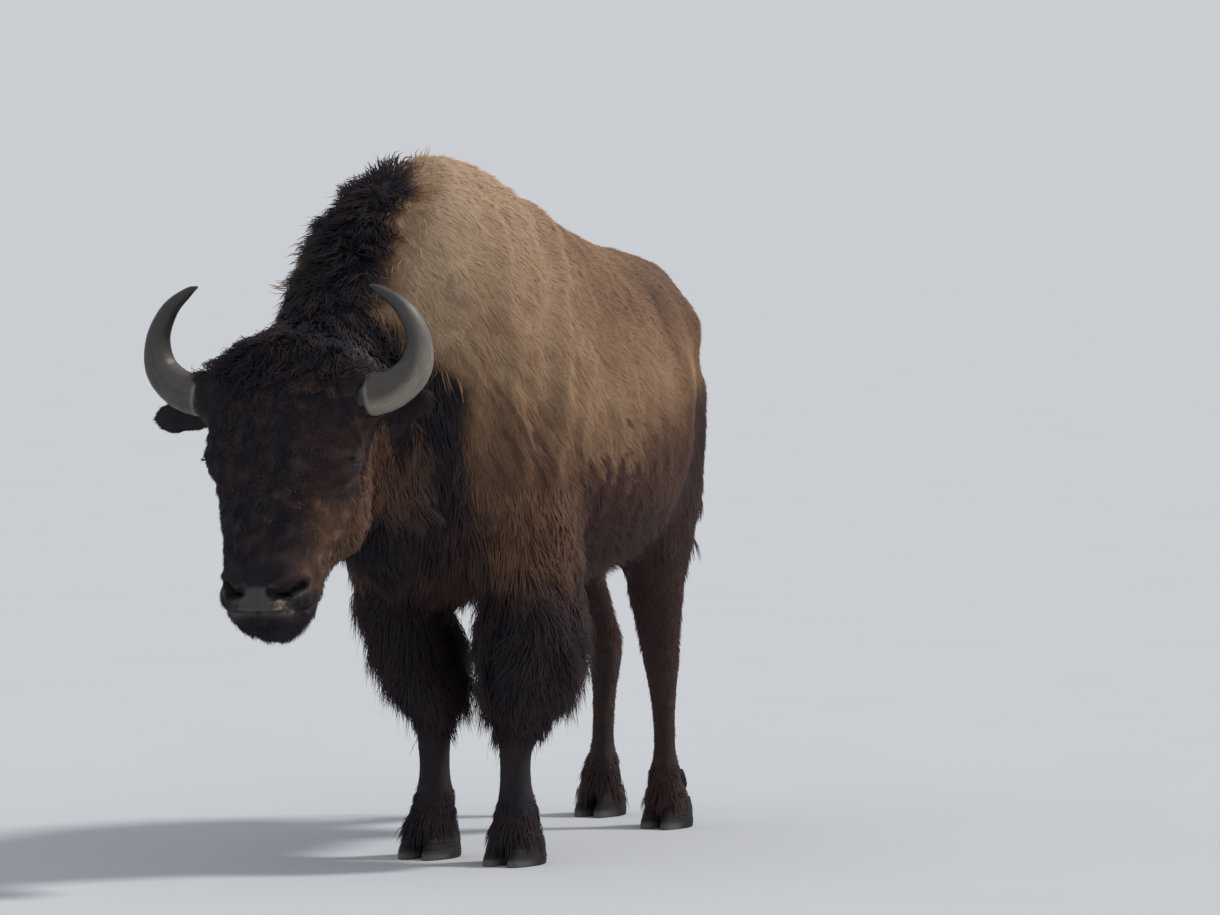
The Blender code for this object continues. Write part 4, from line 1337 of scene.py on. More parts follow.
    def lids(self) -> bpy.types.Mesh:
        """Upper and lower lid as one closed shell round the eyeball."""
        bm = bmesh.new()
        bmesh.ops.create_uvsphere(bm, u_segments=72, v_segments=48, radius=1.0)
        mesh = mesh_of(bm, f"lids_{self.side}")
        local = unit(places_of(mesh))
        polar = np.arccos(np.clip(local[:, 2], -1, 1))
        around = np.arctan2(local[:, 1], local[:, 0])
        rim = self.opening(around)
        inside, edge = 0.12 * math.pi, 0.20 * math.pi
        share = np.clip((polar - edge) / (math.pi - edge), 0.0, 1.0)
        bent = np.where(polar < inside, rim * polar / inside, rim + (math.pi - rim) * share)
        inner, outer = self.radius * 0.93, self.radius + self.lid_rise
        reach = inner + (outer - inner) * ramp(polar, inside, edge)
        reach = np.where(polar < inside, self.radius * 0.72, reach)
        past = np.degrees(bent - rim)
        folds = self.pressed(past, np.sin(around) > 0, (self.upper_fold, self.lower_fold, self.outer_fold))
        middle, width, height = self.plump
        reach = np.where(polar > edge, reach - folds + height * bell(past, middle, width), reach)
        reach = reach - 0.006 * ramp(np.degrees(bent), 80.0, 110.0)
        flat = np.column_stack([np.sin(bent) * np.cos(around), np.sin(bent) * np.sin(around), np.cos(bent)])
        set_places(mesh, self.set_in(flat * reach[:, None]))
        return mesh


@dataclass
class Horn:
    """One horn, curving out, up and in."""

    side: str
    root_down: float = 0.155
    root_out: float = -0.030
    course: tuple = ((0.105, -0.006, 0.0, 0.042), (0.125, -0.004, 0.0, 0.043), (0.185, 0.002, 0.0, 0.044),
                     (0.238, 0.016, -0.004, 0.040), (0.281, 0.058, -0.008, 0.034),
                     (0.287, 0.120, -0.006, 0.025), (0.258, 0.178, 0.002, 0.018),
                     (0.213, 0.214, 0.012, 0.010), (0.190, 0.225, 0.016, 0.0022))
    collar_at: tuple = (0.206, 0.006, 0.0)
    rings: int = 84
    sides: int = 36
    ribs: int = 5
    rib_height: float = 0.006
    growth_height: float = 0.0013
    growth_pace: float = 120.0
    growth_fade: float = 5.0

    def spot(self, out: float, up: float, forward: float) -> Vector:
        """A point of the horn's course in the row frame."""
        across = HEAD.axes() @ Vector((1, 0, 0))
        base = HEAD.place(0.0, self.root_down, self.root_out)
        return base + across * out * SIDES[self.side] + Vector((0, 0, up)) + HEAD.ahead() * forward

    def root(self) -> Vector:
        """Where the horn leaves the skull."""
        return self.spot(*self.course[1][:3])

    def collar(self) -> Vector:
        """Where the hair of the forehead ends on the horn."""
        return self.spot(*self.collar_at)

    def line(self) -> tuple[np.ndarray, np.ndarray]:
        """Smooth centreline and radius at every ring."""
        knots = np.array([(*self.spot(*row[:3]), row[3]) for row in self.course])
        steps = np.linalg.norm(np.diff(knots[:, :3], axis=0), axis=1)
        at = np.concatenate([[0.0], np.cumsum(steps)])
        wanted = np.linspace(0.0, at[-1], self.rings)
        padded = np.vstack([2 * knots[0] - knots[1], knots, 2 * knots[-1] - knots[-2]])
        rows = []
        for place in wanted:
            k = min(int(np.searchsorted(at, place, side="right")) - 1, len(at) - 2)
            t = (place - at[k]) / (at[k + 1] - at[k])
            a, b, c, d = padded[k:k + 4]
            rows.append(0.5 * (2 * b + (c - a) * t + (2 * a - 5 * b + 4 * c - d) * t * t
                               + (3 * b - a - 3 * c + d) * t ** 3))
        rows = np.array(rows)
        return rows[:, :3], np.maximum(rows[:, 3], 0.0015)

    def streak(self, along: np.ndarray, around: np.ndarray) -> np.ndarray:
        """Painted shade on the horn, dark where it turns from the key lamp: its inner curve on the left, a
        band and the outer curve on the right.
        """
        inward = -SIDES[self.side] * np.sin(around * TURN)
        if self.side == "left":
            turned = 0.12 * ramp(along, 0.30, 0.60)
            return 0.88 * ramp(inward, turned - 0.72, turned - 0.10) * (1.0 - 0.5 * ramp(along, 0.60, 0.86))
        band = bell(inward, 0.05, 0.28) * ramp(along, 0.06, 0.16)
        outer = ramp(-inward, -0.3, 0.3) * ramp(along, 0.24, 0.40)
        return np.maximum(0.94 * np.maximum(band, outer), 0.84)

    def build(self) -> bpy.types.Object:
        """Makes the horn with growth rings at its base and fine lengthwise ribs."""
        line, radius = self.line()
        tangent = unit(np.gradient(line, axis=0))
        ahead = np.array(HEAD.ahead())
        along = np.linspace(0.0, 1.0, self.rings)
        rng = np.random.default_rng(SEED + (self.side == "left"))
        phases = rng.uniform(0.0, TURN, self.ribs)
        angles = np.arange(self.sides) * TURN / self.sides
        rings = []
        for k, share in enumerate(along):
            front = ahead - tangent[k] * (ahead @ tangent[k])
            front = front / np.linalg.norm(front)
            other = np.cross(tangent[k], front)
            growth = self.growth_height * math.sin(share * self.growth_pace)
            growth = growth * math.exp(-share * self.growth_fade)
            rib = sum(np.sin(angles * (7 + 3 * n) + phase + 3.0 * share) for n, phase in enumerate(phases))
            size = radius[k] * (1.0 + self.rib_height * rib * (1.0 - share)) + growth
            ring = np.outer(np.cos(angles) * size, front) + np.outer(np.sin(angles) * size, other)
            rings.append(line[k] + ring)
        bm = bmesh.new()
        rows = loft(bm, rings)
        order = {vert: (k, n) for k, row in enumerate(rows) for n, vert in enumerate(row)}
        bm.verts.index_update()
        spots = np.array([order[vert] for vert in bm.verts], dtype=float)
        mesh = mesh_of(bm, f"horn_sheath_{self.side}")
        around = spots[:, 1] / self.sides
        write_values(mesh, "along", spots[:, 0] / (self.rings - 1))
        write_values(mesh, "around", np.abs(around - 0.5) * 2.0)
        write_values(mesh, "streak", self.streak(spots[:, 0] / self.rings, around))
        piece = object_of(mesh, mesh.name, HornFinish().material())
        return show(piece, [f"horn_{self.side}"])


@dataclass
class Hoof:
    """The two claws and two dewclaws of one foot.

    Each row of the profile is height, width, length and set-back of the wall.
    """

    leg: str
    side: str
    sides: int = 48
    rings: int = 26
    squareness: float = 0.88
    profile: tuple = ((0.0, 0.96, 0.96, 0.0), (0.003, 1.01, 1.01, 0.0), (0.010, 1.02, 1.01, 0.001),
                      (0.022, 0.97, 0.94, 0.006), (0.036, 0.90, 0.85, 0.013), (0.050, 0.82, 0.74, 0.019),
                      (0.066, 0.70, 0.60, 0.022))
    toe_taper: float = 0.28
    toe_lean: float = 0.005
    cleft: float = 0.0006
    dewclaw_rings: int = 12
    dewclaw_sides: int = 20

    def build(self) -> list[bpy.types.Object]:
        """Makes the four pieces of the foot."""
        made = []
        for claw in CLAWS:
            made += [self.claw(claw), self.dewclaw(claw)]
        return made

    def claw(self, claw: str) -> bpy.types.Object:
        """One claw: a flat sole, a worn toe and a ringed wall."""
        name = f"claw_{self.leg}_{self.side}_{claw}"
        low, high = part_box(name)
        sibling = middle_of(name.replace(claw, CLAWS[1 - CLAWS.index(claw)]))
        middle = (low + high) / 2.0
        away = 1.0 if middle.x > sibling.x else -1.0
        half, long = (high.x - low.x) / 2.0 / 1.04, (high.y - low.y) / 2.0 / 1.03
        inner = middle.x - away * half
        table = np.array(self.profile)
        angles = np.arange(self.sides) * TURN / self.sides
        cosine, sine = (np.sign(wave) * np.abs(wave) ** self.squareness
                        for wave in (np.cos(angles), np.sin(angles)))
        rings = []
        for z in np.linspace(0.0, table[-1, 0], self.rings):
            wide, deep, back = (np.interp(z, table[:, 0], table[:, n]) for n in (1, 2, 3))
            u, v = cosine * half * wide, sine * long * deep
            toe = np.clip(-v / long, 0.0, 1.0)
            ridge = 0.0006 * math.sin(z * 900.0) + 0.0003 * math.sin(z * 2100.0)
            u = u * (1.0 - self.toe_taper * toe) * (1.0 + ridge / half)
            v = v * (1.0 + ridge / long)
            x = middle.x + u - away * self.toe_lean * toe
            x = np.where(away > 0, np.maximum(x, inner + self.cleft), np.minimum(x, inner - self.cleft))
            rings.append(np.column_stack([x, middle.y + 0.002 + back * 0.7 + v, np.full(self.sides, z)]))
        mesh = self.wall(name, rings)
        places = places_of(mesh)
        worn = (1.0 - ramp(places[:, 2], 0.004, 0.022)) * ramp(middle.y - places[:, 1], -0.01, 0.05)
        write_values(mesh, "worn", worn)
        return self.shown(mesh, name)

    def dewclaw(self, claw: str) -> bpy.types.Object:
        """One small claw behind the fetlock: a blunt ringed cone."""
        name = f"dewclaw_{self.leg}_{self.side}_{claw}"
        low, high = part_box(name)
        start = Vector(((low.x + high.x) / 2.0, low.y + 0.006, high.z - 0.008))
        end = Vector(((low.x + high.x) / 2.0, high.y - 0.004, low.z + 0.004))
        size = (high.x - low.x) / 2.0 * 0.92
        axis = (end - start).normalized()
        across = axis.cross(Vector((1, 0, 0))).normalized()
        other = axis.cross(across)
        angles = np.arange(self.dewclaw_sides) * TURN / self.dewclaw_sides
        rings = []
        for share in np.linspace(0.0, 1.0, self.dewclaw_rings):
            reach = size * (1.0 - 0.55 * share ** 2.6) * (1.0 - 0.55 * ramp(np.array(share), 0.82, 1.0))
            reach = float(reach) + 0.0004 * math.sin(share * 30.0)
            spot = start.lerp(end, float(share))
            rings.append(np.array([spot + across * math.cos(a) * reach + other * math.sin(a) * reach * 0.8
                                   for a in angles]))
        mesh = self.wall(name, rings)
        write_values(mesh, "worn", np.zeros(len(mesh.vertices)))
        return self.shown(mesh, name)

    @staticmethod
    def wall(name: str, rings: list[np.ndarray]) -> bpy.types.Mesh:
        """The closed wall of a claw from its rings."""
        bm = bmesh.new()
        loft(bm, rings)
        return mesh_of(bm, name + "_wall")

    @staticmethod
    def shown(mesh: bpy.types.Mesh, name: str) -> bpy.types.Object:
        """Ties a finished claw to the frame and hides its node."""
        return show(object_of(mesh, mesh.name, HoofFinish().material()), [name])


@dataclass
class Roots:
    """Places on the hide that tufts grow from."""

    places: np.ndarray
    normals: np.ndarray
    flat: np.ndarray
    zones: np.ndarray

    def picked(self, mask: np.ndarray) -> "Roots":
        """Only the roots where the mask is true."""
        return Roots(self.places[mask], self.normals[mask], self.flat[mask], self.zones[mask])


@dataclass(frozen=True)
class Patch:
    """One named stretch of coat: its zones, a slot name that nothing reads, and its finish."""

    zones: tuple
    slot: str
    fur: FurFinish


WOOL = FurFinish("wool")
MANE = FurFinish("mane", 0.54, 0.02, 0.20)
PATCHES = {
    "coat_cape": Patch((Zone.CAPE, Zone.SHOULDER), "coat", WOOL),
    "coat_flank": Patch((Zone.FLANK, Zone.PATCH, Zone.BELLY), "coat", WOOL),
    "coat_rump": Patch((Zone.RUMP, Zone.THIGH), "coat", WOOL),
    "coat_legs": Patch((Zone.CANNON, Zone.PASTERN, Zone.SHANK), "leg_coat", MANE),
    "coat_chaps": Patch((Zone.CHAPS,), "leg_coat", MANE),
    "coat_chest": Patch((Zone.CHEST, Zone.NECK), "dark_coat", MANE),
    "coat_crest": Patch((Zone.CREST, Zone.CROWN), "dark_coat", MANE),
    "coat_face": Patch((Zone.FOREHEAD, Zone.FACE, Zone.MUZZLE, Zone.CHEEK, Zone.EAR, Zone.BEARD),
                       "dark_coat", MANE),
    "coat_tail": Patch((Zone.TAIL,), "leg_coat", MANE),
}
LIES = {
    Zone.CAPE: (0, 0.55, -0.85), Zone.SHOULDER: (0, 0.30, -1), Zone.FLANK: (0, 0.80, -0.70),
    Zone.RUMP: (0, 0.55, -0.80), Zone.PATCH: (0, 0.60, -0.80), Zone.THIGH: (0, 0.30, -1),
    Zone.BELLY: (0, 0.8, -0.3), Zone.CHEST: (0, 0.20, -1), Zone.NECK: (0, 0.30, -1),
    Zone.CREST: (0, 0.35, -0.5), Zone.CHAPS: (0, 0.12, -1), Zone.CANNON: (0, 0.05, -1),
    Zone.PASTERN: (0, 0.15, -1), Zone.SHANK: (0, 0.10, -1), Zone.TAIL: (0, 0.02, -1),
    Zone.BEARD: (0, 0.25, -1),
}
FADES = {
    Zone.CHAPS: (0.40, 0.60, RISE("height", 0.27, 0.44)),
    Zone.PASTERN: (0.30, 0.70, FALL("height", 0.075, 0.130)),
    Zone.SHANK: (0.8, 0.9, RISE("height", 0.33, 0.46)),
    Zone.FOREHEAD: (0.75, 0.9, FALL("down", 0.10, 0.22)),
    Zone.TAIL: (0.45, 1.1, FALL("height", 0.72, 0.95)),
}
TAPERS = {1: (0.85,), 2: (0.7, 1.0), 3: (0.7, 1.0, 0.75), 4: (0.7, 1.0, 0.9, 0.6)}
CORNERS = ((1.0, -0.30), (-1.0, -0.30), (0.0, 0.80))


@dataclass
class Coat:
    """All the hair, in solid tufts that lie along the body.

    Lengths are in metres. Pairs are the least and most of a random draw, or the size of
    a tuft's patch in the shared map.
    """

    hide: bpy.types.Object
    limit: int = 190_000
    steps: int = 12
    scatter_blur: float = 0.009
    length_spread: tuple = (0.65, 1.2)
    width_spread: tuple = (0.7, 1.3)
    wisp_length: float = 1.7
    wisp_width: float = 0.55
    root_depth: float = 0.0015
    ground: float = 0.004
    lock_size: int = 14
    horn_hair: float = 0.022
    curl_pace: float = 7.0
    bare_eye: float = 0.0264
    bare_nostril: tuple = ((0.038, 0.587, 0.012), (0.062, 0.578, 0.0), (0.084, 0.553, -0.02))
    map_patch: tuple = (0.0013, 0.0028)
    rng: np.random.Generator = field(default_factory=lambda: np.random.default_rng(SEED))

    def build(self) -> list[bpy.types.Object]:
        """Grows every piece of the coat."""
        roots = self.scatter()
        made = []
        for name, patch in PATCHES.items():
            parts = []
            for zone in patch.zones:
                chosen = roots.picked(roots.zones == ZONES.index(zone))
                if len(chosen.places):
                    parts.append(self.grow(chosen, zone))
                if zone is Zone.FACE:
                    parts += [self.lashes(side) for side in SIDES]
            made += self.shaped(name, parts, patch)
        return made

    def scatter(self) -> Roots:
        """Spreads roots over the hide, as dense as each zone's hair."""
        mesh = self.hide.data
        places, normals = places_of(mesh), normals_of(mesh)
        corners = np.empty(len(mesh.loops), dtype=np.int32)
        mesh.loops.foreach_get("vertex_index", corners)
        corners = corners.reshape(-1, 3)
        flat = np.empty(len(mesh.loops) * 2, dtype=np.float32)
        mesh.uv_layers[BAKE_MAP].uv.foreach_get("vector", flat)
        flat = flat.reshape(-1, 3, 2)
        a, b, c = (places[corners[:, k]] for k in range(3))
        area = np.linalg.norm(np.cross(b - a, c - a), axis=1) / 2.0
        densest = max(growth.density for growth in GROWTH.values())
        count = int(area.sum() * densest)
        LOG.info("hide area %.2f, %d candidates", area.sum(), count)
        pick = np.searchsorted(np.cumsum(area), self.rng.random(count) * area.sum())
        pick = np.minimum(pick, len(area) - 1)
        u, v = self.rng.random(count), self.rng.random(count)
        over = u + v > 1.0
        u, v = np.where(over, 1.0 - u, u), np.where(over, 1.0 - v, v)
        shares = np.column_stack([1.0 - u - v, u, v])
        spots = (places[corners[pick]] * shares[:, :, None]).sum(axis=1)
        lean = unit((normals[corners[pick]] * shares[:, :, None]).sum(axis=1))
        where = (flat[pick] * shares[:, :, None]).sum(axis=1)
        shifted = spots + self.rng.normal(scale=self.scatter_blur, size=spots.shape)
        zones = zones_at(shifted, lean)
        dense = np.array([GROWTH[zone].density for zone in ZONES])[zones]
        kept = self.rng.random(count) < dense / densest
        kept &= ~self.bare(spots)
        return Roots(spots, lean, where, zones).picked(kept)

    def bare(self, spots: np.ndarray) -> np.ndarray:
        """True where no hair grows: nose pad, lids and under the feet."""
        head = HEAD.read(spots)
        side, down = np.abs(head[:, 0]), head[:, 1]
        front = spots[:, 1] < MARKS.head_back - 0.06
        wide = 0.027 + 0.42 * np.abs(down - MARKS.nose_down)
        pad = front & (side < wide) & (down > 0.574) & (down < 0.618)
        pad |= front & (side < 0.070) & (down > 0.606) & (down < 0.626) & (head[:, 2] > -0.045)
        folded = np.column_stack([side, down, head[:, 2]])
        pad |= front & (away_from_line(folded, [np.array(spot) for spot in self.bare_nostril]) < 0.013)
        for name in SIDES:
            pad |= away_from(spots, middle_of(f"eye_{name}")) < self.bare_eye
        return pad | (spots[:, 2] < MARKS.sole_edge)

    def lie(self, roots: Roots, zone: Zone) -> np.ndarray:
        """Direction in which each tuft lies along the skin."""
        places, normals = roots.places, roots.normals
        head = HEAD.read(places)
        sign = np.sign(head[:, 0])[:, None]
        across, down, out = (np.array(HEAD.axes().col[k]) for k in range(3))
        if zone in LIES:
            ways = np.tile(np.array(LIES[zone], dtype=float), (len(places), 1))
        elif zone is Zone.EAR:
            ways = sign * across + 0.15 * down
        elif zone is Zone.CROWN:
            ways = 0.6 * down + sign * across * ramp(np.abs(head[:, 0]), 0.0, 0.12)[:, None] * 0.8 + 0.1 * out
        else:
            back = ramp(np.abs(head[:, 0]), 0.03, 0.13)[:, None]
            ways = down * (1.0 - 0.35 * back) - out * back * 0.65 + sign * across * 0.10
        for side, way in SIDES.items():
            near = 1.0 - ramp(away_from(places, Horn(side).collar()), 0.055, 0.095)
            ways = unit(ways) + (across * way - 0.2 * out - unit(ways)) * near[:, None]
        ways = unit(ways - normals * (ways * normals).sum(axis=1, keepdims=True))
        stray = math.radians(GROWTH[zone].stray)
        turn = stray * (1.1 * ripple(places, 0.12, 21) + 0.7 * ripple(places, 0.045, 22))
        turn = turn + self.rng.normal(scale=stray * 0.55, size=len(places))
        cross = np.cross(normals, ways)
        return ways * np.cos(turn)[:, None] + cross * np.sin(turn)[:, None]

    def grow(self, roots: Roots, zone: Zone) -> dict:
        """Grows the tufts of one zone.

        Args:
            roots: Where the tufts start.
            zone: How they grow.

        Returns:
            Arrays of the tufts' vertices, faces, normals, flat places and values.
        """
        growth, rng, count = GROWTH[zone], self.rng, len(roots.places)
        lies = self.lie(roots, zone)
        length, wisp = self.lengths(roots, zone)
        waves = 0.35 * growth.rough * ripple(roots.places, 0.035, 32)
        lift = np.radians(growth.lift) * np.clip(1.0 + waves + rng.normal(scale=0.2, size=count), 0.3, 1.9)
        path = self.bend(roots, growth, lies, length, lift)
        self.gather(path, roots.places, growth)
        path[:, :, 2] = np.maximum(path[:, :, 2], self.ground)
        LOG.info("%s: %d tufts", zone.value, count)
        width = rng.uniform(*self.width_spread, count) * growth.width * np.where(wisp, self.wisp_width, 1.0)
        return self.solid(path, roots, growth, width)

    def lengths(self, roots: Roots, zone: Zone) -> tuple[np.ndarray, np.ndarray]:
        """How long each tuft is, and which tufts are long thin wisps."""
        growth, rng, count = GROWTH[zone], self.rng, len(roots.places)
        tufted = 1.0 + 0.22 * growth.rough * ripple(roots.places, 0.05, 31)
        length = growth.length * rng.uniform(*self.length_spread, count) * np.clip(tufted, 0.6, 1.4)
        length = length * self.fade(roots.places, zone)
        if zone is Zone.CHAPS:
            inward = -np.sign(roots.places[:, 0] - self.chaps_middle()) * roots.normals[:, 0]
            length = length * (1.0 + 0.30 * ramp(inward, 0.1, 0.6))
        wisp = rng.random(count) < growth.wisps
        longest = max(1.45 * growth.length, growth.length + 0.012)
        length = np.minimum(length * np.where(wisp, self.wisp_length, 1.0), longest)
        for side in SIDES:
            near = ramp(away_from(roots.places, Horn(side).collar()), 0.05, 0.09)
            length = np.minimum(length, self.horn_hair + near)
        return length, wisp

    def bend(self, roots: Roots, growth: Growth, lies: np.ndarray, length: np.ndarray,
             lift: np.ndarray) -> np.ndarray:
        """Course of each tuft from its root to its tip.

        Args:
            roots: Where the tufts start.
            growth: How they droop and curl.
            lies: Direction that each tuft lies in.
            length: Length of each tuft.
            lift: Angle of each tuft off the skin.

        Returns:
            Points of every tuft at each step.
        """
        normals, count = roots.normals, len(roots.places)
        path = np.empty((self.steps + 1, count, 3))
        path[0] = roots.places - normals * self.root_depth
        phase = self.rng.uniform(0, TURN, count)
        side = np.cross(lies, normals)
        for k in range(self.steps):
            t = (k + 0.5) / self.steps
            angle = lift * (1.15 - 0.75 * t)
            way = lies * np.cos(angle)[:, None] + normals * np.sin(angle)[:, None]
            way[:, 2] -= growth.droop * t
            if growth.curl:
                swing = growth.curl * (0.35 + t)
                way += side * (np.sin(phase + self.curl_pace * t) * swing)[:, None]
                way += normals * (np.cos(phase + self.curl_pace * t) * swing * 0.8)[:, None]
            path[k + 1] = path[k] + unit(way) * (length / self.steps)[:, None]
        return path

    def lashes(self, side: str, count: int = 30, length: float = 0.015, width: float = 0.0008) -> dict:
        """Lashes along the upper lid of one eye.

        Args:
            side: Which eye.
            count: How many lashes.
            length: Their length.
            width: Their width.

        Returns:
            The same arrays as grow.
        """
        eye = Eye(side)
        turn = np.array(eye.frame()).T
        around = np.linspace(0.10 * math.pi, 0.90 * math.pi, count)
        rim = eye.opening(around)
        flat = np.column_stack([np.sin(rim) * np.cos(around), np.sin(rim) * np.sin(around), np.cos(rim)])
        ways = unit(flat + np.array((0.0, 0.35, 0.0)) + self.rng.normal(scale=0.10, size=flat.shape)) @ turn
        starts = eye.set_in(flat * (eye.radius + 0.0006))
        path = np.empty((self.steps + 1, count, 3))
        path[0] = starts
        for k in range(self.steps):
            way = ways + np.array((0.0, 0.0, -0.9)) * (1.0 - k / self.steps)
            path[k + 1] = path[k] + unit(way) * length / self.steps
        mesh = self.hide.data
        places = places_of(mesh)
        near = [int(np.argmin(((places - spot) ** 2).sum(axis=1))) for spot in starts]
        homes = {}
        for loop in mesh.loops:
            homes.setdefault(loop.vertex_index, loop.index)
        maps = mesh.uv_layers[BAKE_MAP].uv
        where = np.array([maps[homes[vertex]].vector[:] for vertex in near])
        roots = Roots(starts, ways, where, np.full(count, ZONES.index(Zone.FACE)))
        growth = Growth(0.0, length, width, 0.0, 0.0, 3)
        return self.solid(path, roots, growth, np.full(count, growth.width))

    @staticmethod
    def chaps_middle() -> float:
        """Across position midway between the forelegs."""
        return (middle_of("foreleg_left").x + middle_of("foreleg_right").x) / 2.0

    @staticmethod
    def fade(places: np.ndarray, zone: Zone) -> np.ndarray:
        """Shorter hair where a zone thins out."""
        if zone not in FADES:
            return np.ones(len(places))
        least, more, mask = FADES[zone]
        return least + more * mask.read({"height": places[:, 2], "down": HEAD.read(places)[:, 1]})

    def gather(self, path: np.ndarray, places: np.ndarray, growth: Growth) -> None:
        """Draws neighbouring tips together into locks."""
        count = len(places)
        centres = self.rng.permutation(count)[:max(1, count // self.lock_size)]
        tree = KDTree(len(centres))
        for number, row in enumerate(centres):
            tree.insert(places[row], number)
        tree.balance()
        home = centres[np.fromiter((tree.find(spot)[1] for spot in places), dtype=np.int64, count=count)]
        for k in range(1, self.steps + 1):
            pull = growth.clump * (k / self.steps) ** 1.3
            path[k] += (path[k][home] - path[k]) * pull

    def solid(self, path: np.ndarray, roots: Roots, growth: Growth, width: np.ndarray) -> dict:
        """Wraps each path in a closed three-sided tapering body."""
        rings, count = growth.rings, len(roots.places)
        marks = [round(k * self.steps / rings) for k in range(rings + 1)]
        per = 3 * rings + 1
        verts = np.empty((count, per, 3), dtype=np.float32)
        leans = np.empty((count, per, 3), dtype=np.float32)
        along = np.empty((count, per), dtype=np.float32)
        for k in range(rings):
            here, ahead = path[marks[k]], path[marks[k + 1]]
            way = unit(ahead - (path[marks[k - 1]] if k else here))
            side = unit(np.cross(way, roots.normals))
            up = np.cross(side, way)
            half = (width * TAPERS[rings][k] / 2.0)[:, None]
            for n, (x, y) in enumerate(CORNERS):
                verts[:, 3 * k + n] = here + side * half * x + up * half * y
                leans[:, 3 * k + n] = unit(0.75 * roots.normals + 0.25 * (side * x + up * y) + 0.25 * up)
            along[:, 3 * k:3 * k + 3] = marks[k] / self.steps
        verts[:, -1] = path[-1]
        leans[:, -1] = roots.normals
        along[:, -1] = 1.0
        across, lengthwise = self.map_patch
        spread = np.array([(k % 3 - 1) * across for k in range(per)])
        flat = np.empty((count, per, 2), dtype=np.float32)
        flat[:, :, 0] = roots.flat[:, :1] + spread * (1.0 - 0.6 * along)
        flat[:, :, 1] = roots.flat[:, 1:] + (along - 0.5) * lengthwise
        return {"verts": verts.reshape(-1, 3), "leans": leans.reshape(-1, 3),
                "along": along.ravel(), "flat": flat.reshape(-1, 2), "per": per,
                "faces": self.sheath(rings),
                "places": np.repeat(roots.places, per, axis=0), "count": count,
                "lock": np.repeat(self.rng.random(count), per)}

    @staticmethod
    def sheath(rings: int) -> np.ndarray:
        """Faces of one three-sided tuft: its foot, its sides and its tip."""
        faces = [(0, 2, 1)]
        for k in range(rings - 1):
            for n in range(3):
                a, b = 3 * k + n, 3 * k + (n + 1) % 3
                faces += [(a, b, b + 3), (a, b + 3, a + 3)]
        last = 3 * (rings - 1)
        return np.array(faces + [(last + n, last + (n + 1) % 3, last + 3) for n in range(3)])

    def shaped(self, name: str, parts: list[dict], patch: Patch) -> list[bpy.types.Object]:
        """Turns tuft arrays into pieces that stay under the limit."""
        bins, load = [[]], 0
        for part in parts:
            tall = len(part["faces"])
            start = 0
            while start < part["count"]:
                room = (self.limit - load) // tall
                if room <= 0:
                    bins.append([])
                    load = 0
                    continue
                stop = min(part["count"], start + room)
                bins[-1].append((part, start, stop))
                load += (stop - start) * tall
                start = stop
        return [self.piece(name if len(bins) == 1 else f"{name}_{k + 1}", rows, patch)
                for k, rows in enumerate(bins)]

    @staticmethod
    def piece(name: str, rows: list[tuple], patch: Patch) -> bpy.types.Object:
        """One object from slices of tuft arrays."""
        gathered = {key: [] for key in ("verts", "leans", "along", "flat", "places", "lock")}
        faces, base = [], 0
        for part, start, stop in rows:
            per = part["per"]
            cut = slice(start * per, stop * per)
            for key, store in gathered.items():
                store.append(part[key][cut])
            offsets = base + np.arange(stop - start)[:, None, None] * per
            faces.append((part["faces"][None] + offsets).reshape(-1, 3))
            base += (stop - start) * per
        arrays = {key: np.concatenate(store) for key, store in gathered.items()}
        faces = np.concatenate(faces).astype(np.int32)
        mesh = bpy.data.meshes.new(name)
        mesh.vertices.add(len(arrays["verts"]))
        mesh.vertices.foreach_set("co", arrays["verts"].ravel())
        mesh.loops.add(faces.size)
        mesh.loops.foreach_set("vertex_index", faces.ravel())
        mesh.polygons.add(len(faces))
        mesh.polygons.foreach_set("loop_start", np.arange(0, faces.size, 3, dtype=np.int32))
        mesh.update(calc_edges=True)
        mesh.shade_smooth()
        layer = mesh.uv_layers.new(name=BAKE_MAP)
        layer.uv.foreach_set("vector", np.clip(arrays["flat"][faces.ravel()], 0, 1).ravel())
        write_tones(mesh, arrays["places"])
        write_values(mesh, "along", arrays["along"])
        write_values(mesh, "lock", arrays["lock"])
        mesh.normals_split_custom_set_from_vertices(arrays["leans"])
        return show(object_of(mesh, name, patch.fur.material()), [])


@dataclass(frozen=True)
class Lamp:
    """One soft distant light.

    right, ahead and up give the direction that it comes from, as the camera sees it, and
    spread is the angle that it fills, in degrees, which softens its shadows.
    """

    name: str
    right: float
    ahead: float
    up: float
    strength: float
    spread: float
    colour: tuple


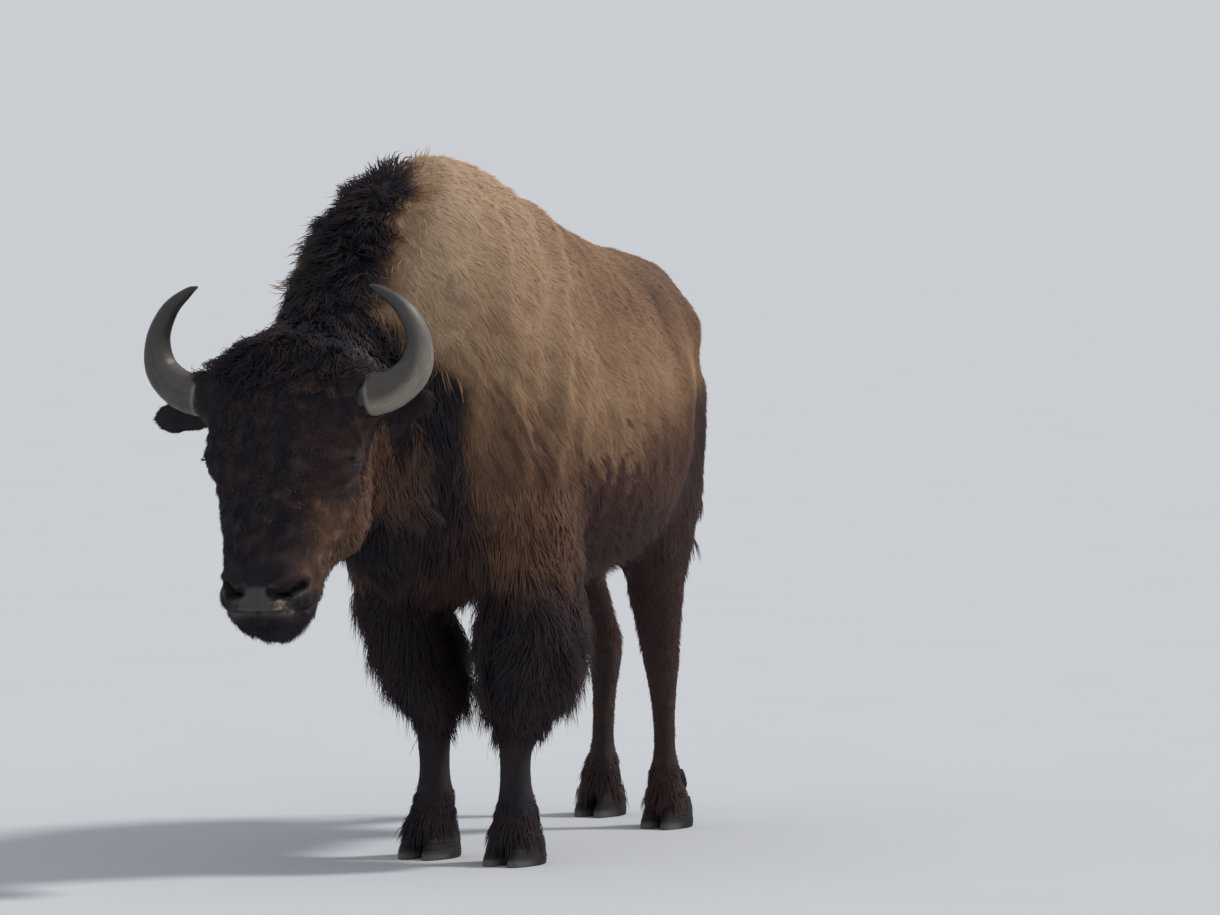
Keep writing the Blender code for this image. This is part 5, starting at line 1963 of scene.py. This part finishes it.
@dataclass
class Studio:
    """Camera, lights and floor."""

    azimuth: float = 24.0
    distance: float = 14.128
    eye_level: float = 1.5
    aside: float = -0.2897
    pitch: float = 2.625
    lens: float = 197.9
    sensor: float = 36.0
    look_back: float = -0.2345
    look_side: float = 0.1238
    lamps: tuple = (
        Lamp("key", 0.80, 0.18, 0.80, 2.5, 8.0, (1.0, 0.965, 0.91)),
        Lamp("fill", -0.5, -0.9, 0.45, 0.20, 60.0, (0.93, 0.96, 1.0)),
    )
    sky: tuple = (0.90, 0.93, 0.98, 1.0)
    sky_strength: float = 0.66
    floor_radius: float = 60.0

    def build(self) -> None:
        """Sets the stage."""
        self.camera()
        self.lights()
        self.floor()

    def ways(self) -> tuple[Vector, Vector]:
        """Level directions ahead of the camera and to its right."""
        turn = math.radians(self.azimuth)
        return Vector((-math.sin(turn), math.cos(turn), 0)), Vector((math.cos(turn), math.sin(turn), 0))

    def camera(self) -> None:
        """Places the camera at eye level, a long way off."""
        ahead, right = self.ways()
        data = bpy.data.cameras.new("camera")
        data.lens = self.lens
        data.sensor_fit = "HORIZONTAL"
        data.sensor_width = self.sensor
        data.clip_end = 200.0
        made = bpy.data.objects.new("camera", data)
        spot = Vector((self.look_side, self.look_back, self.eye_level))
        made.location = spot - ahead * self.distance - right * self.aside
        made.rotation_euler = (math.radians(90.0 - self.pitch), 0.0, math.radians(self.azimuth))
        bpy.context.scene.collection.objects.link(made)
        bpy.context.scene.camera = made

    def lights(self) -> None:
        """A warm key from the right and behind, a cool fill and a pale sky."""
        ahead, right = self.ways()
        for lamp in self.lamps:
            data = bpy.data.lights.new(lamp.name, "SUN")
            data.energy = lamp.strength
            data.angle = math.radians(lamp.spread)
            data.color = lamp.colour
            made = bpy.data.objects.new(lamp.name, data)
            course = right * lamp.right + ahead * lamp.ahead + Vector((0, 0, lamp.up))
            made.rotation_euler = (-course).to_track_quat("-Z", "Y").to_euler()
            bpy.context.scene.collection.objects.link(made)
        world = bpy.data.worlds.new("studio")
        world.use_nodes = True
        back = world.node_tree.nodes["Background"]
        back.inputs[0].default_value = self.sky
        back.inputs[1].default_value = self.sky_strength
        bpy.context.scene.world = world
        bpy.context.scene.view_settings.view_transform = "Standard"

    def floor(self) -> None:
        """A wide round floor."""
        bm = bmesh.new()
        bmesh.ops.create_circle(bm, segments=128, radius=self.floor_radius, cap_ends=True)
        mesh = bpy.data.meshes.new("floor")
        bm.to_mesh(mesh)
        bm.free()
        object_of(mesh, "floor", FloorFinish().material())


def main() -> None:
    """Builds the studio and the animal, piece by piece."""
    logging.basicConfig(level=logging.INFO, format="%(name)s %(message)s")
    Studio().build()
    hide = Skin().build()
    for side in SIDES:
        Eye(side).build()
        Horn(side).build()
        for leg in LEGS:
            Hoof(leg, side).build()
    Coat(hide).build()


if __name__ == "__main__":
    main()
